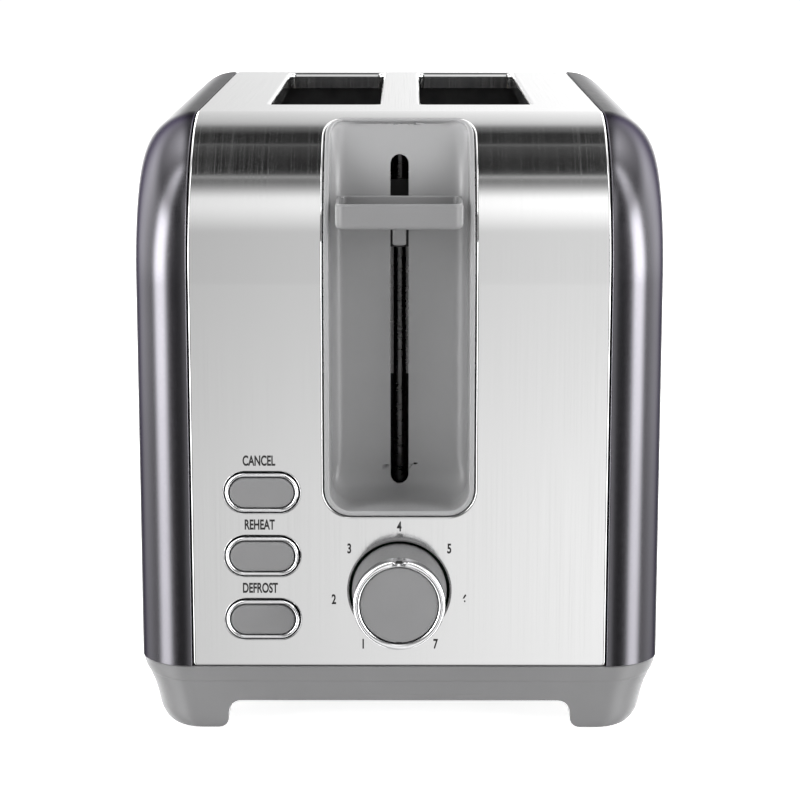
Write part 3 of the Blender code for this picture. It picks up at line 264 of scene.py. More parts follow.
def join_rings(shape, rings, closed=True, cap_first=False, cap_last=False):
    """Join rings of equal counts with quads."""
    rows = [[shape.verts.new(point) for point in ring] for ring in rings]
    count = len(rows[0])
    for lower, upper in zip(rows, rows[1:]):
        for index in range(count if closed else count - 1):
            after = (index + 1) % count
            shape.faces.new((lower[index], lower[after], upper[after], upper[index]))
    if cap_first:
        shape.faces.new(rows[0][::-1])
    if cap_last:
        shape.faces.new(rows[-1])
    return rows


def shell_mesh(name, points, normals, faces, thickness, flat=None):
    """A closed sheet with exact shading: an outer face, an inner one, and the rim between."""
    count = len(points)
    inner = [point - normal * thickness for point, normal in zip(points, normals)]
    uses = {}
    for face in faces:
        for start, end in zip(face, face[1:] + face[:1]):
            uses[(start, end)] = True
    rim = [(end, start, start + count, end + count) for start, end in uses
           if (end, start) not in uses]
    back = [tuple(index + count for index in reversed(face)) for face in faces]
    mesh = bpy.data.meshes.new(name)
    mesh.from_pydata(list(points) + inner, [], [tuple(face) for face in faces] + back + rim)
    mesh.update()
    shading = []
    for polygon in mesh.polygons:
        for index in polygon.vertices:
            if polygon.index >= 2 * len(faces):
                shading.append(polygon.normal.copy())
            elif index < count:
                shading.append(normals[index])
            else:
                shading.append(-normals[index - count])
    mesh.shade_smooth()
    if flat is not None:
        layer = mesh.uv_layers.new(name="sheet")
        for loop in mesh.loops:
            layer.data[loop.index].uv = flat[loop.vertex_index % count]
    mesh.normals_split_custom_set(shading)
    return mesh


def weld(shape, distance=1e-6):
    """Merge a bmesh's points that lie together."""
    bmesh.ops.remove_doubles(shape, verts=shape.verts[:], dist=distance)
    return shape


def lathe(profile, centre, axis, steps=96):
    """A bmesh turned from (radius, height) points about an axis through a centre."""
    shape = bmesh.new()
    spin = Vector((0, 0, 1)).rotation_difference(axis).to_matrix().to_4x4()
    place = Matrix.Translation(centre) @ spin
    join_rings(shape, [[place @ point for point in laid(circle_points((0, 0), radius, steps), height)]
                       for radius, height in profile])
    return weld(shape)


def rounded_profile(points, radius, steps=4):
    """A profile with its inner corners rounded by arcs, where there is room."""
    rounded = [Vector(points[0])]
    for before, corner, after in zip(points, points[1:], points[2:]):
        before, corner, after = Vector(before), Vector(corner), Vector(after)
        reach = min(radius, (before - corner).length * 0.45, (after - corner).length * 0.45)
        start = corner + (before - corner).normalized() * reach
        end = corner + (after - corner).normalized() * reach
        for step in range(steps + 1):
            share = step / steps
            rounded.append(start.lerp(corner, share).lerp(corner.lerp(end, share), share))
    rounded.append(Vector(points[-1]))
    return rounded


def sweep(shape, path, radius, closed=False, sides=10):
    """Sweep a round section along points, without twist, into a bmesh."""
    path = [Vector(point) for point in path]
    count = len(path)
    rings = []
    guide = None
    for index, point in enumerate(path):
        if closed:
            heading = path[(index + 1) % count] - path[index - 1]
        else:
            heading = path[min(index + 1, count - 1)] - path[max(index - 1, 0)]
        heading.normalize()
        if guide is None:
            guide = heading.orthogonal().normalized()
        guide = (guide - heading * guide.dot(heading)).normalized()
        other = heading.cross(guide)
        rings.append([point + radius * (guide * cos(2 * pi * step / sides)
                                        + other * sin(2 * pi * step / sides))
                      for step in range(sides)])
    if closed:
        rings.append(rings[0])
    rows = join_rings(shape, rings, True, not closed, not closed)
    if closed:
        for first, last in zip(rows[0], rows[-1]):
            bmesh.ops.weld_verts(shape, targetmap={last: first})


# ---------------------------------------------------------------- solids


def solid(name, rings):
    """A closed mesh object through rings, for the solids that make up a piece."""
    shape = bmesh.new()
    join_rings(shape, rings, True, True, True)
    bmesh.ops.recalc_face_normals(shape, faces=shape.faces[:])
    return link(name, mesh_from(name, shape))


def combine(target, tool, operation, tangled=False):
    """Join a solid to another, or cut it out, and drop it."""
    step = target.modifiers.new("step", "BOOLEAN")
    step.operation = operation
    step.solver = "EXACT"
    step.object = tool
    step.use_self = tangled
    bpy.context.view_layer.update()
    mesh = bpy.data.meshes.new_from_object(
        target.evaluated_get(bpy.context.evaluated_depsgraph_get()))
    target.modifiers.clear()
    target.data = mesh
    bpy.data.objects.remove(tool, do_unlink=True)


def settle_solid(made, name, node, sharp):
    """Make a finished solid the piece that stands in for a node."""
    mesh = made.data
    bpy.data.objects.remove(made, do_unlink=True)
    return settle(name, shade(mesh, sharp), node, node)


def block(name, low, high, corner, steps=6):
    """An upright solid with rounded corners in plan."""
    outline = edge_points((low[0], low[1]), (high[0], high[1]), corner, steps)
    return solid(name, [laid(outline, height) for height in (low[2], high[2])])


def drum(name, centre, radius, low, high, steps=40):
    """An upright round solid."""
    return solid(name, [laid(circle_points(centre, radius, steps), height)
                        for height in (low, high)])


# ---------------------------------------------------------------- finishes


def add_node(tree, kind, **settings):
    """A shader node with its settings."""
    made = tree.nodes.new("ShaderNode" + kind)
    for name, value in settings.items():
        setattr(made, name, value)
    return made


def math_node(tree, operation, *values):
    """A Math node on sockets or numbers, and its result."""
    made = add_node(tree, "Math", operation=operation)
    for index, value in enumerate(values):
        if isinstance(value, (int, float)):
            made.inputs[index].default_value = value
        else:
            tree.links.new(value, made.inputs[index])
    return made.outputs[0]


def spread(tree, factor, low, high, start, end):
    """A factor mapped from the range start to end, to the range low to high."""
    made = add_node(tree, "MapRange")
    for name, value in (("From Min", start), ("From Max", end), ("To Min", low), ("To Max", high)):
        made.inputs[name].default_value = value
    tree.links.new(factor, made.inputs["Value"])
    return made.outputs["Result"]


def noise(tree, stretch, detail, source):
    """Noise whose grains per metre are given along each axis."""
    place = add_node(tree, "TexCoord").outputs[source]
    mapping = add_node(tree, "Mapping")
    mapping.inputs["Scale"].default_value = stretch
    tree.links.new(place, mapping.inputs["Vector"])
    made = add_node(tree, "TexNoise")
    made.inputs["Scale"].default_value = 1.0
    made.inputs["Detail"].default_value = detail
    tree.links.new(mapping.outputs["Vector"], made.inputs["Vector"])
    return made.outputs["Fac"]


def make_finish(name, colour, rough, metallic=0.0, grain=(900, 900, 900), depth=0.02 * MM,
                rough_spread=0.06, tone_spread=0.08, blotch=(60, 60, 60), source="Object", **extra):
    """A finish with fine grain in its roughness and relief, and broad patches in its tone."""
    made = bpy.data.materials.new(name)
    made.use_nodes = True
    tree = made.node_tree
    shader = tree.nodes["Principled BSDF"]
    shader.inputs["Metallic"].default_value = metallic
    for socket, value in extra.items():
        shader.inputs[socket.replace("_", " ")].default_value = value
    fine = noise(tree, grain, 4.0, source)
    tree.links.new(spread(tree, fine, rough - rough_spread, rough + rough_spread, .3, .7),
                   shader.inputs["Roughness"])
    relief = add_node(tree, "Bump")
    relief.inputs["Strength"].default_value = 1.0
    relief.inputs["Distance"].default_value = depth
    tree.links.new(fine, relief.inputs["Height"])
    tree.links.new(relief.outputs["Normal"], shader.inputs["Normal"])
    tone = add_node(tree, "ValToRGB")
    ends = ((0.3, 1 - tone_spread), (0.7, 1 + tone_spread))
    for stop, (position, share) in zip(tone.color_ramp.elements, ends):
        stop.position = position
        stop.color = (*[min(value * share, 1.0) for value in colour], 1.0)
    tree.links.new(noise(tree, blotch, 2.0, source), tone.inputs["Fac"])
    tree.links.new(tone.outputs["Color"], shader.inputs["Base Color"])
    return made


FINISHES = {
    "satin_steel": dict(colour=(.62, .62, .62), rough=.11, metallic=1.0, grain=(2600, 14, 1),
                        depth=.0012 * MM, rough_spread=.05, tone_spread=.015, blotch=(12, 3, 1),
                        source="UV"),
    "brushed_gunmetal": dict(colour=(.118, .115, .126), rough=.23, metallic=1.0,
                             grain=(12, 1800, 1800), depth=.0004 * MM, rough_spread=.03,
                             tone_spread=.03, blotch=(10, 30, 30),
                             Specular_Tint=(.22, .22, .22, 1)),
    "grey_plastic": dict(colour=(.146, .146, .148), rough=.42, grain=(1500, 1500, 1500),
                         depth=.006 * MM, tone_spread=.03),
    "channel_plastic": dict(colour=(.228, .228, .231), rough=.36, grain=(1500, 1500, 1500),
                            depth=.004 * MM, tone_spread=.02),
    "chrome": dict(colour=(.84, .84, .85), rough=.20, metallic=1.0, grain=(700, 700, 700),
                   depth=.001 * MM, rough_spread=.04, tone_spread=.02),
    "plated_steel": dict(colour=(.50, .50, .50), rough=.30, metallic=1.0, grain=(300, 40, 900),
                         depth=.01 * MM),
    "dark_steel": dict(colour=(.045, .045, .047), rough=.45, metallic=1.0, grain=(900, 60, 120),
                       depth=.01 * MM, tone_spread=.25, blotch=(90, 90, 90)),
    "guard_wire": dict(colour=(.42, .42, .43), rough=.30, metallic=1.0, grain=(500, 500, 500),
                       depth=.01 * MM, tone_spread=.15),
    "mica": dict(colour=(.15, .12, .08), rough=.55, grain=(400, 400, 400), depth=.04 * MM,
                 tone_spread=.30, blotch=(150, 80, 80)),
    "copper_winding": dict(colour=(.55, .22, .09), rough=.28, metallic=1.0, grain=(60, 60, 3500),
                           depth=.05 * MM, tone_spread=.10),
    "circuit_board": dict(colour=(.03, .12, .05), rough=.35, grain=(500, 500, 500),
                          depth=.03 * MM, tone_spread=.35, blotch=(200, 200, 200)),
    "black_plastic": dict(colour=(.02, .02, .022), rough=.45, grain=(1200, 1200, 1200),
                          depth=.02 * MM),
    "rubber": dict(colour=(.025, .025, .025), rough=.75, grain=(1800, 1800, 1800),
                   depth=.05 * MM, tone_spread=.2),
    "print": dict(colour=(.006, .006, .006), rough=.5, grain=(1500, 1500, 1500), depth=.005 * MM,
                  tone_spread=.2),
    "heater_ribbon": dict(colour=(.35, .31, .28), rough=.35, metallic=1.0, grain=(600, 600, 600),
                          depth=.02 * MM, tone_spread=.2),
}
MADE = {}


def finish_of(slot):
    """The finish of a slot, made when it is first asked for."""
    if slot not in MADE:
        MADE[slot] = make_finish(slot + "_finish", **FINISHES[slot])
    return MADE[slot]


# ---------------------------------------------------------------- studio


def ramp_by(tree, factor, stops, low, high):
    """Brightness by (angle, brightness) stops, at a factor that runs 0 to 1 from low to high."""
    ramp = add_node(tree, "ValToRGB")
    elements = ramp.color_ramp.elements
    elements[1].position = 1.0
    for index, (angle, level) in enumerate(stops):
        place = (angle - low) / (high - low)
        element = elements.new(place) if index else elements[0]
        element.position = place
        element.color = (level, level, level, 1.0)
    elements.remove(elements[len(elements) - 1])
    tree.links.new(factor, ramp.inputs["Fac"])
    return ramp.outputs["Color"]


def make_world():
    """The studio: light bands around the object from front to rear, and a strip at each side."""
    world = bpy.data.worlds.new("studio")
    bpy.context.scene.world = world
    world.use_nodes = True
    tree = world.node_tree
    tree.nodes.clear()
    split = add_node(tree, "SeparateXYZ")
    tree.links.new(add_node(tree, "TexCoord").outputs["Generated"], split.inputs[0])
    x, y, z = split.outputs
    toward = math_node(tree, "MULTIPLY", y, -1.0)
    turn = math_node(tree, "ARCTAN2", z, toward)
    share = math_node(tree, "DIVIDE", math_node(tree, "ADD", turn, pi / 2), 2 * pi)
    around = math_node(tree, "WRAP", share, 1.0, 0.0)
    bands = ramp_by(tree, around, BANDS, -90, 270)
    tilt = math_node(tree, "MULTIPLY_ADD", x, TILT_TO_RIGHT, 1.0)
    tilt = math_node(tree, "MINIMUM", math_node(tree, "MAXIMUM", tilt, TILT_LEAST), TILT_MOST)
    front = math_node(tree, "MULTIPLY", bands, tilt)
    sideways = math_node(tree, "ABSOLUTE", x)
    bearing = math_node(tree, "DIVIDE", math_node(tree, "ARCTAN2", sideways, toward), pi)
    rise = math_node(tree, "DIVIDE", math_node(tree, "ARCSINE", z), pi)
    rise = math_node(tree, "ADD", rise, 0.5)
    strip = math_node(tree, "MULTIPLY", ramp_by(tree, bearing, STRIP, 0, 180), STRIP_LIGHT)
    sides = math_node(tree, "ADD", ramp_by(tree, bearing, SIDES, 0, 180), strip)
    sides = math_node(tree, "MULTIPLY", sides, ramp_by(tree, rise, STRIP_RISE, -90, 90))
    over = spread(tree, sideways, 0.0, 1.0, SIDE_START, SIDE_END)
    back = math_node(tree, "SUBTRACT", 1.0, over)
    light = math_node(tree, "ADD", math_node(tree, "MULTIPLY", front, back),
                      math_node(tree, "MULTIPLY", sides, over))
    seen = add_node(tree, "LightPath").outputs["Is Camera Ray"]
    unseen = math_node(tree, "SUBTRACT", 1.0, seen)
    light = math_node(tree, "ADD", math_node(tree, "MULTIPLY", light, unseen),
                      math_node(tree, "MULTIPLY", seen, WHITE))
    background = add_node(tree, "Background")
    background.inputs["Color"].default_value = (1.0, 1.0, 1.0, 1.0)
    tree.links.new(light, background.inputs["Strength"])
    tree.links.new(background.outputs[0], add_node(tree, "OutputWorld").inputs["Surface"])
    bpy.context.scene.view_settings.view_transform = "Standard"


def make_floor():
    """A plain pale floor that glossy rays pass, so that the studio alone shows in the metal."""
    shape = bmesh.new()
    bmesh.ops.create_grid(shape, x_segments=1, y_segments=1, size=FLOOR_SIZE)
    floor = link("floor", mesh_from("floor", shape))
    made = bpy.data.materials.new("floor_finish")
    made.use_nodes = True
    tree = made.node_tree
    shader = tree.nodes["Principled BSDF"]
    shader.inputs["Base Color"].default_value = (.9, .9, .9, 1)
    shader.inputs["Roughness"].default_value = 1.0
    shader.inputs["Specular IOR Level"].default_value = 0.0
    shader.inputs["Emission Color"].default_value = (1, 1, 1, 1)
    glow = math_node(tree, "MULTIPLY", add_node(tree, "LightPath").outputs["Is Camera Ray"],
                     FLOOR_GLOW)
    tree.links.new(glow, shader.inputs["Emission Strength"])
    clear = add_node(tree, "BsdfTransparent")
    mix = add_node(tree, "MixShader")
    tree.links.new(add_node(tree, "LightPath").outputs["Is Glossy Ray"], mix.inputs["Fac"])
    tree.links.new(shader.outputs[0], mix.inputs[1])
    tree.links.new(clear.outputs[0], mix.inputs[2])
    tree.links.new(mix.outputs[0], tree.nodes["Material Output"].inputs["Surface"])
    floor.data.materials.append(made)


def make_camera():
    """The camera, in front of the panel and a little above the top."""
    data = bpy.data.cameras.new("camera")
    data.lens = CAMERA_LENS
    data.clip_start = 0.01
    camera = link("camera", data)
    camera.location = (CAMERA_X, FRONT - CAMERA_DISTANCE, CAMERA_Z)
    camera.rotation_euler = (pi / 2 - CAMERA_PITCH, 0.0, CAMERA_YAW)
    bpy.context.scene.camera = camera


# ---------------------------------------------------------------- steel sheet


def hem(shape, outline, radius, depth):
    """Turn the flat sheet down along an outline; gives the edges where the flat begins.

    The outline's directions point off the sheet. The turn is an arc, and then a straight flange.
    """
    normal = shape.verts.layers.float_vector["normal"]
    turns = [radians(90 * step / HEM_STEPS) for step in range(HEM_STEPS + 1)]
    levels = [(turn, -radius * (1 - cos(turn))) for turn in turns] + [(pi / 2, -depth)]
    rings = []
    for turn, height in levels:
        ring = []
        for point, off in outline:
            place = point - off * radius * (1 - sin(turn))
            vert = shape.verts.new((place.x, place.y, height))
            vert[normal] = (off.x * sin(turn), off.y * sin(turn), cos(turn))
            ring.append(vert)
        rings.append(ring)
    for upper, lower in zip(rings, rings[1:]):
        for index in range(len(outline)):
            after = (index + 1) % len(outline)
            shape.faces.new((upper[index], upper[after], lower[after], lower[index]))
    first = rings[0]
    return [shape.edges.get((first[index - 1], first[index])) for index in range(len(first))]


def sheet_openings():
    """(outline, hem radius, flange depth) of each opening, with directions into the opening."""
    openings = []
    for name in ("left", "right"):
        guard = [BOX[f"{name}_{place}_guard"] for place in ("outer", "inner")]
        low_x = min(low.x for low, high in guard) - GUARD_GAP
        high_x = max(high.x for low, high in guard) + GUARD_GAP
        low_y, high_y = guard[0][0].y + GUARD_OVERLAP, guard[0][1].y - GUARD_OVERLAP
        openings.append((edge_points((low_x, on_top(low_y)), (high_x, on_top(high_y)),
                                     BREAD_SLOT_CORNER), *HEMS["bread slot"]))
    openings.append((bezel_outline(-BEZEL_GAP), *HEMS["channel"]))
    for name in BUTTONS:
        middle = centre_of(name + "_ring")
        size = BOX[name + "_ring"][1] - BOX[name + "_ring"][0]
        openings.append((obround_points((middle.x, on_front(middle.z)), size.x + CONTROL_GAP,
                                        size.z + CONTROL_GAP), *HEMS["button"]))
    middle = centre_of("dial_knob")
    radius = BOX["dial_knob"][1].x - middle.x + CONTROL_GAP
    openings.append((circle_points((middle.x, on_front(middle.z)), radius, 96), *HEMS["dial"]))
    middle = centre_of("cord_gland")
    openings.append((circle_points((middle.x, SHEET_LENGTH - (middle.z - BOTTOM)),
                                   GLAND_HOLE_RADIUS, 48), *HEMS["gland"]))
    return openings


def make_sheet():
    """The steel sheet, with its edges turned in and every opening hemmed, bent over the body."""
    shape = bmesh.new()
    normal = shape.verts.layers.float_vector.new("normal")
    edges = hem(shape, edge_points((-HALF_SHEET, 0.0), (HALF_SHEET, SHEET_LENGTH), SHEET_CORNER),
                *HEMS["sheet"])
    for outline, radius, depth in sheet_openings():
        edges += hem(shape, [(point, -off) for point, off in outline], radius, depth)
    bmesh.ops.triangle_fill(shape, use_beauty=True, edges=edges)
    for vert in shape.verts:
        if vert[normal].length < 0.5:
            vert[normal] = (0, 0, 1)
    for start in (FLAT_FRONT, FLAT_FRONT + ROLL + FLAT_TOP):
        for step in range(BENDS + 1):
            bmesh.ops.bisect_plane(shape, geom=shape.verts[:] + shape.edges[:] + shape.faces[:],
                                   dist=1e-7, plane_co=(0, start + ROLL * step / BENDS, 0),
                                   plane_no=(0, 1, 0))
    shape.verts.index_update()
    for face in shape.faces:
        middle = sum((Vector(vert[normal]) for vert in face.verts), Vector())
        face.normal_update()
        if face.normal.dot(middle) < 0:
            face.normal_flip()
    flat = [(vert.co.x, vert.co.y) for vert in shape.verts]
    points = [on_body(*vert.co) for vert in shape.verts]
    normals = [turned_normal(vert.co.y, *Vector(vert[normal]).normalized()) for vert in shape.verts]
    faces = [[vert.index for vert in face.verts] for face in shape.faces]
    shape.free()
    mesh = shell_mesh("steel_sheet", points, normals, faces, SHEET_THICKNESS, flat)
    settle("steel_sheet", mesh, "body_wrap", "body_wrap")


# ---------------------------------------------------------------- cheeks


def make_cheek(name, side):
    """A side cover swept along the body: a seam edge, a quarter round, and a flat side."""
    edge, seam_depth, thickness = 0.5 * MM, 1.8 * MM, 1.2 * MM
    edge_steps, round_steps = 4, 24
    radius = SIDE - SEAM - edge
    section = [(SEAM, -seam_depth, -90)]
    for step in range(edge_steps + 1):
        turn = radians(90 * step / edge_steps)
        section.append((SEAM + edge * (1 - cos(turn)), -edge * (1 - sin(turn)), degrees(turn) - 90))
    for step in range(1, round_steps + 1):
        turn = 90 * step / round_steps
        section.append((SIDE - radius + radius * sin(radians(turn)),
                        -radius * (1 - cos(radians(turn))), turn))
    stations = [0.0]
    for start in (FLAT_FRONT, FLAT_FRONT + ROLL + FLAT_TOP):
        stations += [start + ROLL * step / CHEEK_BENDS for step in range(CHEEK_BENDS + 1)]
    stations.append(SHEET_LENGTH)
    points, normals, faces = [], [], []
    for along in stations:
        for across, out, turn in section:
            points.append(on_body(side * across, along, out))
            normals.append(turned_normal(along, side * sin(radians(turn)), 0, cos(radians(turn))))
    width = len(section)
    for row in range(len(stations) - 1):
        for column in range(width - 1):
            start = row * width + column
            face = [start, start + 1, start + width + 1, start + width]
            faces.append(face if side > 0 else face[::-1])
    cap = [row * width + width - 1 for row in range(len(stations))]
    faces.append(cap if side > 0 else cap[::-1])
    mesh = shell_mesh(name, points, normals, faces, thickness)
    settle(name + "_cover", mesh, name, name)


# ---------------------------------------------------------------- lever bezel


def bezel_outline(inset):
    """The lever channel's outline on the flat sheet, set in, with its outward directions."""
    low, high = BOX["lever_bezel"]
    half = high.x - inset
    start = on_front(low.z) + inset
    end = on_front(high.z) - inset
    lower = 8.5 * MM - inset
    wide, tall = 6 * MM - inset, 12 * MM - inset
    across, upward, round_steps = 16, 80, 12
    down, right, up = Vector((0, -1)), Vector((1, 0)), Vector((0, 1))
    corner = [radians(90 * step / round_steps) for step in range(1, round_steps)]
    points = [(Vector((-half + lower + (2 * half - 2 * lower) * index / across, start)), down)
              for index in range(across + 1)]
    points += [(Vector((half - lower + lower * sin(turn), start + lower - lower * cos(turn))),
                Vector((sin(turn), -cos(turn)))) for turn in corner]
    points += [(Vector((half, start + lower + (end - tall - start - lower) * index / upward)), right)
               for index in range(upward + 1)]
    points += [(Vector((half - wide + wide * cos(turn), end - tall + tall * sin(turn))),
                Vector((cos(turn) / wide, sin(turn) / tall)).normalized()) for turn in corner]
    side = points[across + 1:]
    points += [(Vector((half - wide - (2 * half - 2 * wide) * index / across, end)), up)
               for index in range(across + 1)]
    return points + [(Vector((-point.x, point.y)), Vector((-off.x, off.y)))
                     for point, off in reversed(side)]


def channel_depth(height):
    """How far behind the panel the channel's back is at a height: upright, then an arc back."""
    depth, lean, radius = 22 * MM, 168 * MM, 27.4 * MM
    if height <= lean:
        return depth
    return depth + radius - sqrt(radius ** 2 - (height - lean) ** 2)


def channel_rings():
    """Rings of the lever's channel, from behind its rim, over the rim, and down to its back."""
    rim = ((0, -1.5), (0, -.02), (.06, .2), (.2, .34), (.4, .4), (1.25, .4), (1.45, .34), (1.6, .15),
           (1.65, -.2))
    rings = [[on_body(point.x, point.y, out * MM) for point, off in bezel_outline(inset * MM)]
             for inset, out in rim]
    mouth, outline = rings[-1], bezel_outline(rim[-1][0] * MM)
    half = max(point.x for point in mouth)
    low, high = min(point.z for point in mouth), max(point.z for point in mouth)
    middle = (low + high) / 2
    side_round, scoop, top_round = 5 * MM, 10 * MM, 0.8 * MM
    wall_steps, back_steps = 8, 6
    least_step = 0.05 * MM
    for step in range(wall_steps + 1):
        turn = radians(90 * step / wall_steps)
        sunk = 1 - cos(turn)
        ring = []
        for point, (_, off) in zip(mouth, outline):
            low_share = max(0.0, (middle - point.z) / (middle - low))
            high_share = max(0.0, (point.z - middle) / (high - middle))
            x = point.x * (1 - side_round * sunk / half)
            z = point.z + scoop * sunk * low_share - top_round * sunk * high_share
            reach = side_round * off.x ** 2
            reach += (scoop if off.y < 0 else top_round) * off.y ** 2
            y = FRONT + channel_depth(z) - reach * (1 - sin(turn))
            ring.append(Vector((x, max(y, point.y + least_step * (step + 1)), z)))
        rings.append(ring)
    edge = rings[-1]
    for step in range(1, back_steps + 1):
        rings.append([Vector((point.x * (1 - step / back_steps), FRONT + channel_depth(point.z),
                              point.z)) for point in edge])
    return rings


def make_bezel():
    """The lever's channel: a raised rim, straight walls, filleted corners and a leaning back."""
    shape = bmesh.new()
    join_rings(shape, channel_rings())
    weld(shape, 2e-6)
    bmesh.ops.dissolve_degenerate(shape, edges=shape.edges[:], dist=1e-6)
    bmesh.ops.recalc_face_normals(shape, faces=shape.faces[:])
    back = max(shape.faces, key=lambda face: face.calc_area() * abs(face.normal.y))
    if back.normal.y > 0:
        bmesh.ops.reverse_faces(shape, faces=shape.faces[:])
    channel = link("channel", mesh_from("lever_channel", shape))
    wall = channel.modifiers.new("wall", "SOLIDIFY")
    wall.thickness = 0.6 * MM
    wall.offset = -1.0
    slot_width, slot_low, slot_high = 5.8 * MM, 76.65 * MM, 182.5 * MM
    outline = obround_points((0, (slot_low + slot_high) / 2), slot_width, slot_high - slot_low, 16)
    cutter = [stood(outline, depth) for depth in (FRONT + 5 * MM, FRONT + SHOULDER)]
    combine(channel, solid("slot", cutter), "DIFFERENCE", True)
    settle_solid(channel, "lever_channel", "lever_bezel", 50)


# ---------------------------------------------------------------- base


def base_section(side_inset, end_inset, height):
    """A ring round the base, set in from the cheeks at its sides and from the panels at its ends."""
    half = SIDE - 0.2 * MM - side_inset
    front, rear = FRONT + 0.5 * MM + end_inset, REAR - 0.5 * MM - end_inset
    corner = (17.3 * MM - side_inset * 0.6, 17.3 * MM - end_inset)
    return laid(edge_points((-half, front), (half, rear), corner, 16), height)


def underpass(half, low, roof):
    """(across, height) points of the gap between two feet, rounded at the soles and the roof."""
    sole, fillet = 3.2 * MM, 4.0 * MM
    turns = [radians(15 * step) for step in range(7)]
    side = [(half + sole, -BELOW)]
    side += [(half + sole * (1 - sin(turn)), low + sole * (1 - cos(turn))) for turn in turns]
    side += [(half - fillet * (1 - cos(turn)), roof - fillet + fillet * sin(turn))
             for turn in turns]
    return side + [(-across, height) for across, height in reversed(side)]


def cut_underpasses(base):
    """Part the base's rim into four feet, with a gap along the body and another across it."""
    sole, roof = BOX["base"][0].z, 9.7 * MM
    reach, half_across, foot_length = 200 * MM, 54.8 * MM, 24 * MM
    middle = (FRONT + REAR) / 2
    half_along = (REAR - FRONT) / 2 - foot_length
    lengthways = [[Vector((off, y, height)) for off, height in underpass(half_across, sole, roof)]
                  for y in (-reach, reach)]
    crossways = [[Vector((x, middle + off, height)) for off, height in
                  underpass(half_along, sole, roof)] for x in (-reach, reach)]
    for gap in (lengthways, crossways):
        combine(base, solid("underpass", gap), "DIFFERENCE")


def make_base():
    """The base: a creased band over a taper, on four feet, hollow above and open for the tray."""
    base_top = BOX["base"][1].z
    # (inset at the sides, inset at the ends, height)
    levels = ((8.0, .9, .6), (6.9, .45, 1.6), (5.7, .3, 3.6), (5.2, .28, 5.2), (4.6, .26, 8.0),
              (4.1, .25, 10.0), (3.4, .22, 12.3), (2.2, .2, 15.1), (1.85, .18, 16.1),
              (1.6, 0.0, 16.35), (.9, 0.0, 17.5), (.2, 0.0, 19.5), (0.0, 0.0, 20.75),
              (.2, .2, 21.1))
    base = solid("base_tray", [base_section(side * MM, end * MM, height * MM)
                               for side, end, height in levels])
    cut_underpasses(base)
    floor = 12.2 * MM
    side_wall, end_wall = 5.3 * MM, 3.5 * MM
    combine(base, solid("hollow", [base_section(side_wall, end_wall, height)
                                   for height in (floor, base_top + BELOW)]), "DIFFERENCE")
    for along in ("front", "rear"):
        for side in ("left", "right"):
            high = BOX[f"{along}_{side}_pad"][1]
            middle = centre_of(f"{along}_{side}_pad")
            combine(base, drum("pocket", middle, high.x - middle.x + 0.25 * MM, -BELOW,
                               high.z + 0.3 * MM), "DIFFERENCE")
            middle = centre_of(f"{along}_{side}_screw")
            combine(base, drum("boss", middle, 5.9 * MM, 11 * MM, 18.7 * MM), "UNION")
            combine(base, drum("counterbore", middle, 3.8 * MM, 4 * MM, 12.1 * MM), "DIFFERENCE")
            combine(base, drum("thread", middle, 1.9 * MM, 4 * MM, 17.7 * MM), "DIFFERENCE")
    tray = BOX["crumb_tray"]
    gap, wall_depth = 0.6 * MM, 9 * MM
    doorway = block("doorway", (tray[0].x - gap, REAR - wall_depth, floor),
                    (tray[1].x + gap, REAR + BELOW, tray[1].z + gap), 0.2 * MM, 1)
    combine(base, doorway, "DIFFERENCE")
    piece = settle_solid(base, "base_shell", "base", 25)
    piece.modifiers.new("shading", "WEIGHTED_NORMAL").keep_sharp = True


# ---------------------------------------------------------------- lever knob


def make_knob():
    """The lever's knob: a rounded, open-topped tray on a stem that hollows to take the arm."""
    low, high = BOX["lever_knob"]
    floor_low = high.z - 7.9 * MM
    rings = []
    profile = ((1.6, 0.0), (.9, .12), (.35, .5), (.08, 1.1), (0, 1.8), (0, 6.9), (.08, 7.3),
               (.3, 7.7), (.6, 7.9), (.95, 7.9), (1.25, 7.7), (1.35, 7.4), (1.4, 2.6), (1.7, 1.7),
               (2.4, 1.4))
    for inset, rise in profile:
        outline = inset_box(low, high, inset * MM, max(3.2 - inset, .8) * MM, 10)
        rings.append(laid(outline, floor_low + rise * MM))
    knob = solid("knob", rings)
    half = 2.15 * MM
    stem_rings = []
    for height, widen in ((low.z, -.5), (low.z + .5 * MM, 0), (floor_low - 1.8 * MM, 0),
                          (floor_low - .7 * MM, .35), (floor_low + .4 * MM, 1.4)):
        grow = widen * MM
        outline = edge_points((-half - grow, high.y - 6 * MM - grow),
                              (half + grow, high.y - 0.15 * MM), 0.6 * MM, 6)
        stem_rings.append(laid(outline, height))
    combine(knob, solid("stem", stem_rings), "UNION")
    arm = BOX["lever_arm"]
    gap = 0.3 * MM
    combine(knob, block("socket", (arm[0].x - gap, arm[0].y - gap, arm[0].z - gap),
                        (arm[1].x + gap, high.y + BELOW, arm[1].z + gap), 0.1 * MM, 1),
            "DIFFERENCE")
    piece = settle_solid(knob, "knob_tray", "lever_knob", 40)
    piece.modifiers.new("shading", "WEIGHTED_NORMAL").keep_sharp = True


# ---------------------------------------------------------------- buttons and dial


def button_rings(ring_node, less, profile, front):
    """Obround rings from (inset, depth) pairs in millimetres, on a button ring's outline.

    They are narrower than the ring by a size, and their depths count from a Y place.
    """
    middle = centre_of(ring_node)
    size = BOX[ring_node][1] - BOX[ring_node][0]
    return [stood(obround_points((middle.x, middle.z), size.x - less - 2 * inset * MM,
                                 size.z - less - 2 * inset * MM, 16), front + depth * MM)
            for inset, depth in profile]


